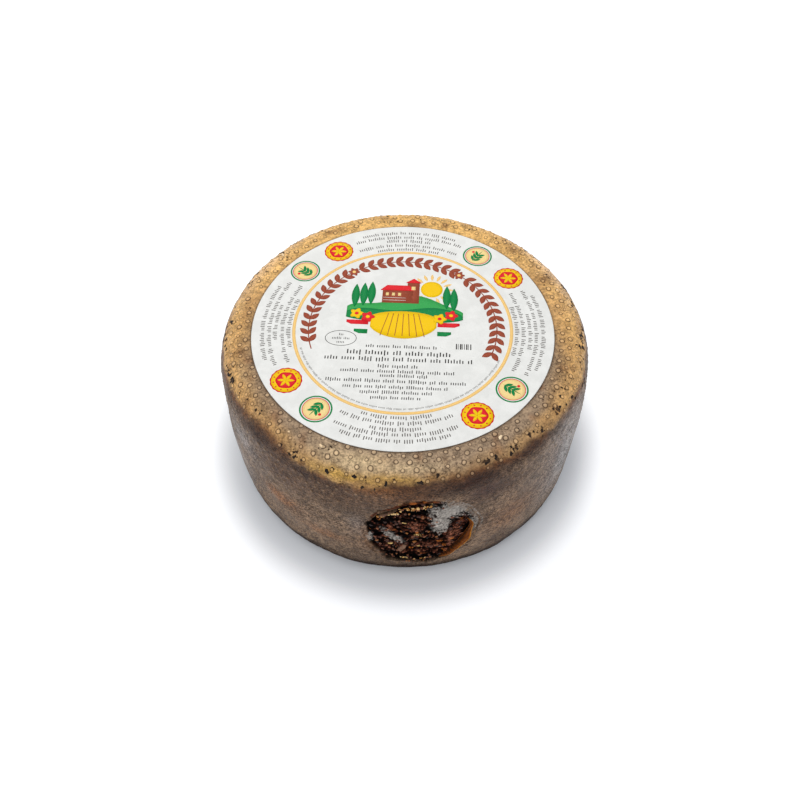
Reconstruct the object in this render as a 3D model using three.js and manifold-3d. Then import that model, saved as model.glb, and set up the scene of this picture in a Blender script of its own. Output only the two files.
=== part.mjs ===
// A whole wheel of aged ewe's-milk cheese with a round paper label on its top face.
//
// The wheel is one solid: a squat drum with soft shoulders, slightly bulging sides and a flat top and foot.
// Three kinds of relief are part of it, as on the real rind:
//   - nubs, the low bumps that the holes of the draining mould leave, in staggered rings round the label and, in
//     places, in level rows on the upper side;
//   - a scorched scar on the front, where a hot iron has burnt a round patch into the side, with a craggy floor;
//   - a lip of loosened rind along the scar's lower right edge.
// The label is a thin disc that lies on the flat top face, a little off centre.
//
// Millimetres, +Z up. The origin is the centre of the foot. The scar faces -Y.

import * as THREE from "three";
import { mergeVertices } from "three/addons/utils/BufferGeometryUtils.js";
import Module from "manifold-3d";

// ---------------------------------------------------------------- driving dimensions
const wheelDiameter = 180; // across the widest part of the side
const wheelHeight = 86;
const sideBulge = 2.2; // how much the side swells between the edges and the middle

const topFlatRadius = 75.5; // the label lies inside this flat
const shoulderDrop = 14; // height of the rounded top edge
const shoulderPower = 2.1; // 2 is a plain ellipse, more is squarer
const footFlatRadius = 77;
const footRise = 11; // height of the rounded bottom edge
const footPower = 2;

const labelDiameter = 143;
const labelThickness = 0.25;
const labelOffset = new THREE.Vector2(-0.9, -1.6); // stuck on by hand, so not quite in the middle

const nubRadius = 1.1;
const nubHeight = 0.5;
const nubSides = 6;
const nubSunk = 0.3; // how deep its base reaches into the rind
const topNubRings = 3;
const topNubsPerRing = 79;
const topNubStart = 74.9; // radius of the innermost ring
const topNubStep = 3.45; // from one ring to the next
const topNubWorn = 0.07; // share of them that is rubbed away
const sideNubRows = 3;
const sideNubTop = 73; // height of the uppermost row on the side
const sideNubStep = 4.8; // from one row down to the next
const sideNubAlong = 4.4; // from nub to nub in a row
const sideNubShare = 0.42; // nubs whose wear is above this are rubbed away

const scarWidth = 50;
const scarHeight = 55;
const scarBearing = THREE.MathUtils.degToRad(-85.9); // direction from the wheel's axis
const scarMiddle = 43.5; // height above the foot
const scarDepth = 1.5;
const scarCrag = 0.85; // height of the crags on its floor
const scarCutterClear = 4; // how far the cutter stands out of the side

const lipStart = THREE.MathUtils.degToRad(-72); // angles round the scar, 0 to the right, 90 up
const lipEnd = THREE.MathUtils.degToRad(12);
const lipWidth = 4.2;
const lipHeight = 1.3;
const lipSunk = 1.2; // how deep its foot reaches into the rind

// How fine the facets are.
const wheelColumns = 64;
const topRings = [40, 67]; // radii inside the top flat, which is plain
const footRings = [50];
const shoulderSteps = 6;
const sideSteps = 8;
const footSteps = 4;
const scarColumns = 40;
const scarRings = 7;
const lipSteps = 16;
const labelSides = 96;

const wasm = await Module();
wasm.setup();

// ---------------------------------------------------------------- shape of the wheel
// Radius of the plain side at height z: a parabola that is widest at mid-height.
function sideRadius(z) {
  const fromMiddle = (2 * z) / wheelHeight - 1;
  return wheelDiameter / 2 - sideBulge * fromMiddle * fromMiddle;
}

// Share of the way from the flat's radius to the side's radius, where w is 0 at the side and 1 at the flat.
function edgeShare(w, power) {
  return (1 - w ** power) ** (1 / power);
}

// Radius of the wheel's surface at height z, with its rounded shoulder and foot.
function profileRadius(z) {
  const shoulderStart = wheelHeight - shoulderDrop;
  if (z > shoulderStart) {
    const share = edgeShare((z - shoulderStart) / shoulderDrop, shoulderPower);
    return topFlatRadius + (sideRadius(z) - topFlatRadius) * share;
  }
  if (z < footRise) {
    const share = edgeShare((footRise - z) / footRise, footPower);
    return footFlatRadius + (sideRadius(z) - footFlatRadius) * share;
  }
  return sideRadius(z);
}

// How far the hand-made side departs from a true round, fading out towards both flats.
function sway(bearing, z) {
  const fade = Math.sin((Math.PI * z) / wheelHeight);
  const ovalness = 0.55 * Math.cos(2 * bearing + 0.6);
  const lumps = 0.3 * Math.cos(4 * bearing - 1.1) + 0.22 * Math.sin(6 * bearing + z / 17);
  return fade * (ovalness + lumps);
}

function surfaceRadius(bearing, z) {
  return profileRadius(z) + sway(bearing, z);
}

function surfacePoint(bearing, z, outward = 0) {
  const r = surfaceRadius(bearing, z) + outward;
  return new THREE.Vector3(r * Math.cos(bearing), r * Math.sin(bearing), z);
}

// The outward direction of the surface, from two short steps along it.
function surfaceNormal(bearing, z) {
  const step = 0.01;
  const here = surfacePoint(bearing, z);
  const along = surfacePoint(bearing + step, z).sub(here);
  const up = surfacePoint(bearing, z + step).sub(here);
  return along.cross(up).normalize();
}

// Heights of the rows down the rounded shoulder, the side and the rounded foot, spaced evenly along each curve.
function rowHeights() {
  const heights = [];
  for (let i = 1; i <= shoulderSteps; i++) {
    const w = Math.cos(((i / shoulderSteps) * Math.PI) / 2) ** (2 / shoulderPower);
    heights.push(wheelHeight - shoulderDrop + shoulderDrop * w);
  }
  const sideTop = wheelHeight - shoulderDrop;
  for (let i = 1; i < sideSteps; i++) {
    heights.push(sideTop + ((footRise - sideTop) * i) / sideSteps);
  }
  for (let i = 0; i < footSteps; i++) {
    const w = Math.sin(((i / footSteps) * Math.PI) / 2) ** (2 / footPower);
    heights.push(footRise - footRise * w);
  }
  return heights;
}

// ---------------------------------------------------------------- closed surfaces from rings of points
// Joins rings of equal length, from a pole point at one end to a pole point at the other, into a closed mesh.
function closedFromRings(firstPole, rings, lastPole) {
  const columns = rings[0].length;
  const points = [firstPole, ...rings.flat(), lastPole];
  const last = points.length - 1;
  const at = (ring, column) => 1 + ring * columns + (column % columns);
  const faces = [];
  for (let c = 0; c < columns; c++) {
    faces.push(0, at(0, c), at(0, c + 1));
    for (let ring = 0; ring + 1 < rings.length; ring++) {
      faces.push(at(ring, c), at(ring + 1, c), at(ring + 1, c + 1));
      faces.push(at(ring, c), at(ring + 1, c + 1), at(ring, c + 1));
    }
    faces.push(last, at(rings.length - 1, c + 1), at(rings.length - 1, c));
  }
  const geometry = new THREE.BufferGeometry().setFromPoints(points);
  geometry.setIndex(faces);
  return geometry;
}

function circleOfPoints(columns, pointAt) {
  return Array.from({ length: columns }, (_, c) => pointAt((c / columns) * 2 * Math.PI));
}

function toSolid(geometry) {
  const bare = geometry.index ? geometry.toNonIndexed() : geometry.clone();
  bare.deleteAttribute("normal");
  bare.deleteAttribute("uv");
  const merged = mergeVertices(bare, 1e-4);
  const vertProperties = new Float32Array(merged.attributes.position.array);
  const triVerts = new Uint32Array(merged.index.array);
  return new wasm.Manifold(new wasm.Mesh({ numProp: 3, vertProperties, triVerts }));
}

function toGeometry(solid) {
  const mesh = solid.getMesh();
  const geometry = new THREE.BufferGeometry();
  geometry.setAttribute("position", new THREE.BufferAttribute(mesh.vertProperties, 3));
  geometry.setIndex(new THREE.BufferAttribute(mesh.triVerts, 1));
  geometry.computeVertexNormals();
  return geometry;
}

// ---------------------------------------------------------------- the plain drum
function drum() {
  const flatRing = (radius, z) =>
    circleOfPoints(wheelColumns, (a) => new THREE.Vector3(radius * Math.cos(a), radius * Math.sin(a), z));
  const rings = [
    ...[...topRings, topFlatRadius].map((radius) => flatRing(radius, wheelHeight)),
    ...rowHeights().map((z) => circleOfPoints(wheelColumns, (a) => surfacePoint(a, z))),
    ...[footFlatRadius, ...footRings].map((radius) => flatRing(radius, 0)),
  ];
  return toSolid(closedFromRings(new THREE.Vector3(0, 0, wheelHeight), rings, new THREE.Vector3(0, 0, 0)));
}

// ---------------------------------------------------------------- nubs
// A repeatable number from 0 to 1 for the nub with these two counting numbers.
function chance(i, j) {
  const x = Math.sin(i * 127.1 + j * 311.7) * 43758.5453;
  return x - Math.floor(x);
}

// One low cone, its base sunk into the rind, standing at a point along an outward direction.
function nub(point, outward, size) {
  const height = nubHeight * size;
  const whole = height + nubSunk;
  const shape = new THREE.ConeGeometry((nubRadius * size * whole) / height, whole, nubSides);
  shape.translate(0, whole / 2 - nubSunk, 0);
  shape.applyQuaternion(new THREE.Quaternion().setFromUnitVectors(new THREE.Vector3(0, 1, 0), outward));
  shape.translate(point.x, point.y, point.z);
  return toSolid(shape);
}

// Nubs of the top face: staggered rings, the innermost on the flat and the others on the rounded shoulder.
function topNubs() {
  const nubs = [];
  for (let ring = 0; ring < topNubRings; ring++) {
    const radius = topNubStart + ring * topNubStep;
    for (let i = 0; i < topNubsPerRing; i++) {
      const pick = chance(i, ring);
      if (pick < topNubWorn) continue;
      const bearing = ((i + (ring % 2) / 2) / topNubsPerRing) * 2 * Math.PI;
      const size = 0.8 + 0.35 * pick;
      if (radius < topFlatRadius) {
        const place = new THREE.Vector3(radius * Math.cos(bearing), radius * Math.sin(bearing), wheelHeight);
        nubs.push(nub(place, new THREE.Vector3(0, 0, 1), size));
      } else {
        const z = heightAtRadius(bearing, radius);
        nubs.push(nub(surfacePoint(bearing, z), surfaceNormal(bearing, z), size));
      }
    }
  }
  return nubs;
}

// Height of the shoulder's surface at a radius past the top flat, found by halving.
function heightAtRadius(bearing, radius) {
  let low = wheelHeight - shoulderDrop;
  let high = wheelHeight;
  for (let i = 0; i < 30; i++) {
    const middle = (low + high) / 2;
    if (surfaceRadius(bearing, middle) > radius) low = middle;
    else high = middle;
  }
  return low;
}

// How worn the rind is at the i-th nub of a row on the side: in three stretches round the wheel, more in lower rows.
function wearAt(bearing, i, row) {
  const stretches = 0.5 + 0.5 * Math.cos(3 * bearing + 3.9);
  return stretches + 0.12 * row + 0.25 * chance(i, row);
}

// Nubs of the side, in level rows that fade out downwards and are worn away in places.
function sideNubs() {
  const nubs = [];
  const around = Math.floor((Math.PI * wheelDiameter) / sideNubAlong);
  for (let row = 0; row < sideNubRows; row++) {
    for (let i = 0; i < around; i++) {
      const bearing = ((i + (row % 2) / 2) / around) * 2 * Math.PI - Math.PI;
      const z = sideNubTop - row * sideNubStep;
      if (wearAt(bearing, i, row) > sideNubShare || nearScar(bearing, z)) continue;
      nubs.push(nub(surfacePoint(bearing, z), surfaceNormal(bearing, z), 0.95 - 0.12 * row));
    }
  }
  return nubs;
}

// ---------------------------------------------------------------- scorched scar
// Bearing and height of the point at (right, up) mm from the scar's middle, measured over the side.
function scarPlace(right, up) {
  return [scarBearing + right / (wheelDiameter / 2), scarMiddle + up];
}

// Whether a place is in the scar or so near its edge that a nub would touch it.
function nearScar(bearing, z) {
  const right = ((bearing - scarBearing) * wheelDiameter) / scarWidth;
  const up = (2 * (z - scarMiddle)) / scarHeight;
  return Math.hypot(right, up) < 1.25;
}

// Outline of the scar: an ellipse with a slightly ragged edge. Share is 0 in the middle and 1 at the edge.
function scarOffset(angle, share) {
  const ragged = 1 + 0.018 * Math.sin(5 * angle + 0.4) + 0.014 * Math.sin(11 * angle);
  return [
    (scarWidth / 2) * share * ragged * Math.cos(angle),
    (scarHeight / 2) * share * ragged * Math.sin(angle),
  ];
}

// Height of the crags at a place on the scar's floor: crossing waves of unrelated lengths.
function crag(right, up) {
  const broad = Math.sin(right * 0.31 + 1.3) * Math.cos(up * 0.27 - right * 0.12);
  const middling = Math.sin(right * 0.52 - up * 0.33) * Math.cos(up * 0.47 + right * 0.2 + 0.5);
  return scarCrag * (0.45 * broad + 0.55 * middling);
}

// The piece that the iron takes out: its back follows the side at the scar's depth, with the crags.
function scarCutter() {
  const ring = (share, outwardAt) =>
    circleOfPoints(scarColumns, (angle) => {
      const [right, up] = scarOffset(angle, share);
      return surfacePoint(...scarPlace(right, up), outwardAt(right, up));
    });
  const floor = (right, up) => crag(right, up) - scarDepth;
  const shares = Array.from({ length: scarRings }, (_, i) => (i + 1) / scarRings);
  const rings = [ring(1, () => scarCutterClear), ...shares.reverse().map((share) => ring(share, floor))];
  const front = surfacePoint(...scarPlace(0, 0), scarCutterClear);
  const back = surfacePoint(...scarPlace(0, 0), floor(0, 0));
  return toSolid(closedFromRings(front, rings, back));
}

// A crescent of loosened rind that stands up along the scar's edge, thickest in its middle.
function scarLip() {
  const sections = [];
  for (let i = 1; i < lipSteps; i++) {
    const t = i / lipSteps;
    const angle = lipStart + (lipEnd - lipStart) * t;
    const swell = Math.sin(Math.PI * t);
    const half = (0.5 * lipWidth * swell) / (scarWidth / 2);
    const edge = (share, outward) => {
      const [right, up] = scarOffset(angle, share);
      return surfacePoint(...scarPlace(right, up), outward);
    };
    sections.push([
      edge(1 - half, -lipSunk),
      edge(1 + half, -lipSunk),
      edge(1 + half * 0.7, lipHeight * 0.35 * swell),
      edge(1 - half * 0.2, lipHeight * swell),
      edge(1 - half, lipHeight * 0.4 * swell),
    ]);
  }
  const tip = (angle) => surfacePoint(...scarPlace(...scarOffset(angle, 1)), -lipSunk / 2);
  return toSolid(closedFromRings(tip(lipStart), sections, tip(lipEnd)));
}

// ---------------------------------------------------------------- pieces
function cheeseWheel() {
  const scarred = drum().subtract(scarCutter());
  const solid = wasm.Manifold.union([scarred, scarLip(), ...topNubs(), ...sideNubs()]);
  const rind = new THREE.MeshStandardMaterial({ color: 0xa27f57, roughness: 0.6, metalness: 0 });
  const mesh = new THREE.Mesh(toGeometry(solid), rind);
  mesh.name = "cheese_wheel";
  return mesh;
}

function paperLabel() {
  const disc = new THREE.CylinderGeometry(labelDiameter / 2, labelDiameter / 2, labelThickness, labelSides);
  disc.rotateX(Math.PI / 2);
  disc.translate(0, 0, labelThickness / 2);
  const paper = new THREE.MeshStandardMaterial({ color: 0xf1f3f1, roughness: 0.55, metalness: 0 });
  const mesh = new THREE.Mesh(disc, paper);
  mesh.name = "paper_label";
  mesh.position.set(labelOffset.x, labelOffset.y, wheelHeight);
  return mesh;
}

const cheese = new THREE.Group();
cheese.add(cheeseWheel(), paperLabel());

export default cheese;
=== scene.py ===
"""A whole wheel of aged ewe's-milk cheese with a round paper label, in its finish.

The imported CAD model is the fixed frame. Sizes are in millimetres in its axes: the origin is the centre of the
wheel's foot, +Z is up and -Y is the front, where a hot iron has scorched the side. Meshes are in metres.

A place on the wheel is given by its bearing, the angle round the axis in radians, and its run, the length
along the profile from the middle of the top face. On the top face, which is flat, run equals radius.
"""

import logging
import math
from dataclasses import dataclass, field
from enum import Enum
from functools import cached_property, partial

import bpy
import numpy as np
from bpy.types import Material, Node, NodeSocket, NodeTree, Object
from mathutils import Matrix, Vector


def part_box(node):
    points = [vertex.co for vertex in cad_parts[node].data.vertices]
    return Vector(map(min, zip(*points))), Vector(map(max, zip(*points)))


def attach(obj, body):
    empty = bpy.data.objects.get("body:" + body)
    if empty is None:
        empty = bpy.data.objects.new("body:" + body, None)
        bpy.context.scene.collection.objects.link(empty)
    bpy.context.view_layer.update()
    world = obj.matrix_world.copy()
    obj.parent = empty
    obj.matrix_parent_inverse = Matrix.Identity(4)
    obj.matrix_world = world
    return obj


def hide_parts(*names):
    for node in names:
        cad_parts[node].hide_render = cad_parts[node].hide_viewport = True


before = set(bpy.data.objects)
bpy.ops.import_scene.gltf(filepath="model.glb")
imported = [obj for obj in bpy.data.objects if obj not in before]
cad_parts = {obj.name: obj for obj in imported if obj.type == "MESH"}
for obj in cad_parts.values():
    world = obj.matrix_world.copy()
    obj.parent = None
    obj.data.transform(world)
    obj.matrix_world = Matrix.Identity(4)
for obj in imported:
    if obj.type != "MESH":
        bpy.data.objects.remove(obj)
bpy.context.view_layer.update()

LOG = logging.getLogger("cheese_wheel")
MM = 0.001
FULL_TURN = 2.0 * math.pi

Array = np.ndarray
Pair = tuple[Array, Array]
Spots = tuple[Array, Array, Array]  # two coordinates and the size of each of many small things


# ------------------------ arithmetic on whole arrays
def smooth(low: float, high: float, value: Array) -> Array:
    """Rises from 0 at low to 1 at high as 3t^2 - 2t^3; low may be the larger one."""
    t = np.clip((value - low) / (high - low), 0.0, 1.0)
    return t * t * (3.0 - 2.0 * t)


def blend(a: Array, b: Array, share: Array) -> Array:
    """Goes from a, where share is 0, to b, where it is 1."""
    return a + (b - a) * share


def painted(under: Array, over: Array, share: Array) -> Array:
    """Blends colours, with red, green and blue along the last axis, by one share for each place."""
    return blend(under, over, share[..., None])


def bell(value: Array, middle: float | Array, half: float, power: int = 2) -> Array:
    """1 at the middle, falling off on both sides as exp(-((value - middle) / half)^power)."""
    return np.exp(-(((value - middle) / half) ** power))


def round_turn(count: int) -> Array:
    """Angles evenly spaced round a full turn, from 0."""
    return np.arange(count) * FULL_TURN / count


def spoke(angle: Array | float, reach: Array | float = 1.0) -> Array:
    """Points of the plane at angles and distances from the origin, with x and y along a new last axis."""
    return np.stack([np.cos(angle), np.sin(angle)], -1) * np.asarray(reach)[..., None]


def chance(cells: Array, seed: int) -> Array:
    """A repeatable number from 0 to 1 for each cell: its counts, times large odd numbers, are mixed.

    Args:
        cells: whole numbers, with a cell's two or three counts along the last axis.
        seed: another seed gives other numbers.

    Returns:
        An array with one axis fewer than cells.
    """
    odd = np.array([73856093, 19349663, 83492791][: cells.shape[-1]], np.uint32)
    mixed = (cells.astype(np.int64).astype(np.uint32) * odd).sum(-1, dtype=np.uint32)
    mixed = mixed + np.uint32(seed * 7919 + 17)
    for shift, factor in ((15, 2246822519), (13, 3266489917)):
        mixed = (mixed ^ (mixed >> np.uint32(shift))) * np.uint32(factor)
    return ((mixed ^ (mixed >> np.uint32(16))) & np.uint32(0xFFFFFF)) / float(0xFFFFFF)


def cloud(points: Array, cell: float | tuple[float, float, float], seed: int) -> Array:
    """A smooth random field from -1 to 1: random numbers at the corners of boxes, blended across each box.

    Args:
        points: places, with x, y and z along the last axis.
        cell: the boxes' edge, or its three edges.
        seed: another seed gives another field.

    Returns:
        One number for each place.
    """
    places = points / np.asarray(cell, float)
    base = np.floor(places)
    share = places - base
    share = share * share * (3.0 - 2.0 * share)
    total = np.zeros(points.shape[:-1])
    for corner in np.ndindex(2, 2, 2):
        step = np.array(corner)
        weight = np.prod(np.where(step, share, 1.0 - share), axis=-1)
        total += weight * chance(base + step, seed)
    return 2.0 * total - 1.0


@dataclass(frozen=True)
class Flakes:
    """What a pattern of flakes gives at each place.

    Attributes:
        crack: distance from the nearest gap between two flakes, in flakes.
        pick: a random number from 0 to 1 that is the same all over a flake.
    """

    crack: Array
    pick: Array


def flaked(across: Array, up: Array, size: tuple[float, float], seed: int) -> Flakes:
    """Splits the plane among random points, one in each cell of a grid: a place belongs to the nearest point.

    Args:
        across, up: the two coordinates of each place.
        size: mean width and height of a flake.
        seed: another seed gives other flakes.

    Returns:
        The crack distance and the flake's number for each place.
    """
    place = np.stack([across / size[0], up / size[1]], -1)
    cell = np.floor(place)
    nearest = np.full(across.shape, 9.0)
    second = nearest
    pick = np.zeros(across.shape)
    for step in np.ndindex(3, 3):
        home = cell + np.array(step) - 1
        point = home + 0.1 + 0.8 * np.stack([chance(home, seed), chance(home, seed + 1)], -1)
        distance = np.hypot(*np.moveaxis(point - place, -1, 0))
        closer = distance < nearest
        second = np.where(closer, nearest, np.minimum(second, distance))
        pick = np.where(closer, chance(home, seed + 2), pick)
        nearest = np.where(closer, distance, nearest)
    return Flakes(crack=second - nearest, pick=pick)


# ------------------------ colours
def linear(colour: str) -> tuple[float, float, float, float]:
    """Turns an sRGB hex colour such as #d3a665 into linear red, green, blue and an alpha of 1."""
    parts = [int(colour[i : i + 2], 16) / 255.0 for i in (1, 3, 5)]
    return (*[p / 12.92 if p <= 0.04045 else ((p + 0.055) / 1.055) ** 2.4 for p in parts], 1.0)


class Colour(Enum):
    """A set of named colours, each with its sRGB hex as its value."""

    @property
    def rgb(self) -> Array:
        """Linear red, green and blue."""
        return np.array(linear(self.value)[:3])


def graded(level: Array, steps: tuple[float, ...], colours: tuple[Colour, ...]) -> Array:
    """Linear colour at each level: a colour at each step, with straight lines between them."""
    return np.stack([np.interp(level, steps, [colour.rgb[c] for colour in colours]) for c in range(3)], -1)


# ------------------------ closed shapes from arrays of points
@dataclass
class Shape:
    """A closed mesh, or many alike: points in millimetres, faces by point number, and values at points."""

    points: Array
    quads: Array
    triangles: Array = field(default_factory=lambda: np.zeros((0, 3), int))
    values: dict[str, Array] = field(default_factory=dict)


def repeated(faces: Array, copies: int, points_each: int) -> Array:
    """The same faces for each of several copies that follow one another in the list of points."""
    steps = np.arange(copies) * points_each
    return (faces[None] + steps[:, None, None]).reshape(-1, faces.shape[-1])


def with_poles(rings: Array, first: Array, last: Array) -> Array:
    """Values at each copy's first pole, rings and last pole, in the order of its points.

    Args:
        rings: of shape (copies, rings, columns, ...).
        first, last: at the two poles, of shape (copies, ...).

    Returns:
        One list for all copies.
    """
    flat = rings.reshape(len(rings), -1, *rings.shape[3:])
    return np.concatenate([first[:, None], flat, last[:, None]], 1).reshape(-1, *rings.shape[3:])


def ringed(rings: Array, first: Array, last: Array) -> Shape:
    """Closes a stack of rings with a point at each end, as a globe is closed at its poles.

    Args:
        rings: points of shape (copies, rings, columns, 3), counterclockwise seen from the first pole.
        first, last: the poles, of shape (copies, 3).

    Returns:
        One shape that holds all the copies.
    """
    copies, count, columns = rings.shape[:3]
    each = count * columns + 2
    number = 1 + np.arange(count * columns).reshape(count, columns)
    after = np.roll(number, -1, 1)
    quads = np.stack([number[:-1], number[1:], after[1:], after[:-1]], -1).reshape(-1, 4)
    top = np.stack([np.zeros(columns, int), number[0], after[0]], -1)
    bottom = np.stack([np.full(columns, each - 1), after[-1], number[-1]], -1)
    fans = repeated(np.concatenate([top, bottom]), copies, each)
    return Shape(with_poles(rings, first, last), repeated(quads, copies, each), fans)


def hooped(rings: Array) -> Shape:
    """Closes a stack of rings on itself, as a tyre is closed.

    Args:
        rings: points of shape (rings, columns, 3).

    Returns:
        The closed shape.
    """
    number = np.arange(rings.shape[0] * rings.shape[1]).reshape(rings.shape[:2])
    below = np.roll(number, -1, 0)
    quads = np.stack([number, below, np.roll(below, -1, 1), np.roll(number, -1, 1)], -1)
    return Shape(rings.reshape(-1, 3), quads.reshape(-1, 4))


def gridded(n: int, m: int) -> Pair:
    """Faces of a grid of points, and its edge.

    Args:
        n, m: counts of its points, where turning the first direction to the second is counterclockwise.

    Returns:
        The faces, and the numbers of the points along the four edges, in order.
    """
    number = np.arange(n * m).reshape(n, m)
    faces = np.stack([number[:-1, :-1], number[1:, :-1], number[1:, 1:], number[:-1, 1:]], -1).reshape(-1, 4)
    return faces, np.concatenate([number[:, 0], number[-1, 1:], number[-2::-1, -1], number[0, -2:0:-1]])


def fenced(rim: Array, foot: Array) -> Array:
    """Faces of the wall between two closed rows of points, given by their numbers."""
    return np.stack([rim, foot, np.roll(foot, -1), np.roll(rim, -1)], -1)


def plated(top: Array, bottom: Array) -> Shape:
    """Joins two grids of points, one over the other, into plates with walls along their four edges.

    Args:
        top, bottom: points of shape (copies, n, m, 3).

    Returns:
        One shape that holds all the copies.
    """
    copies, n, m = top.shape[:3]
    over, rim = gridded(n, m)
    under = over[:, ::-1] + n * m
    points = np.concatenate([top.reshape(copies, -1, 3), bottom.reshape(copies, -1, 3)], 1)
    faces = np.concatenate([over, under, fenced(rim, rim + n * m)])
    return Shape(points.reshape(-1, 3), repeated(faces, copies, 2 * n * m))


def bedded(top: Array, foot: Array, root: Array) -> Shape:
    """Closes a grid from behind: walls go down from its edges to a foot, and a fan joins that to a root.

    Args:
        top: points of shape (n, m, 3).
        foot: a grid of the same shape, of which only the edge is used.
        root: one point behind the middle.

    Returns:
        The closed shape.
    """
    n, m = top.shape[:2]
    over, rim = gridded(n, m)
    below = n * m + np.arange(len(rim))
    fan = np.stack([below, np.full(len(rim), n * m + len(rim)), np.roll(below, -1)], -1)
    points = np.concatenate([top.reshape(-1, 3), foot.reshape(-1, 3)[rim], root[None]])
    return Shape(points, np.concatenate([over, fenced(rim, below)]), fan)


def joined(shapes: list[Shape]) -> Shape:
    """Puts several shapes that hold no values into one, one after another.

    Args:
        shapes: the shapes.

    Returns:
        One shape.
    """
    starts = np.cumsum([0] + [len(shape.points) for shape in shapes[:-1]])
    return Shape(
        np.concatenate([shape.points for shape in shapes]),
        np.concatenate([shape.quads + start for shape, start in zip(shapes, starts)]),
        np.concatenate([shape.triangles + start for shape, start in zip(shapes, starts)]),
    )


def facing_out(shape: Shape) -> Shape:
    """Turns every face round if the shape is inside out, which shows as a volume below zero.

    Args:
        shape: one closed shape, or several.

    Returns:
        The same shape.
    """
    fans = np.concatenate([shape.quads[:, [0, 1, 2]], shape.quads[:, [0, 2, 3]], shape.triangles])
    a, b, c = (shape.points[fans[:, i]] for i in range(3))
    if np.einsum("ij,ij->", a, np.cross(b, c)) < 0.0:
        shape.quads, shape.triangles = shape.quads[:, ::-1], shape.triangles[:, ::-1]
    return shape


def to_piece(name: str, shape: Shape, material: Material, replaces: str | None = None) -> Object:
    """Makes a Blender mesh of a shape, dresses it and lets it ride on the object's one body.

    Args:
        name: the piece's name.
        shape: what it is made of; its values become attributes, as colours where they have three columns.
        material: its finish.
        replaces: the CAD node that it stands for, if any.

    Returns:
        The piece.
    """
    shape = facing_out(shape)
    mesh = bpy.data.meshes.new(name)
    mesh.from_pydata((shape.points * MM).tolist(), [], shape.quads.tolist() + shape.triangles.tolist())
    for label, value in shape.values.items():
        if value.ndim == 2:
            rgba = np.concatenate([value, np.ones((len(value), 1))], 1).astype(np.float32)
            mesh.attributes.new(label, "FLOAT_COLOR", "POINT").data.foreach_set("color", rgba.ravel())
        else:
            mesh.attributes.new(label, "FLOAT", "POINT").data.foreach_set("value", value.astype(np.float32))
    mesh.shade_smooth()
    mesh.materials.append(material)
    mesh.update()
    piece = bpy.data.objects.new(name, mesh)
    bpy.context.scene.collection.objects.link(piece)
    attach(piece, "root")
    if replaces:
        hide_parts(replaces)
    LOG.info("%s: %d faces", name, len(mesh.polygons))
    return piece


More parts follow.
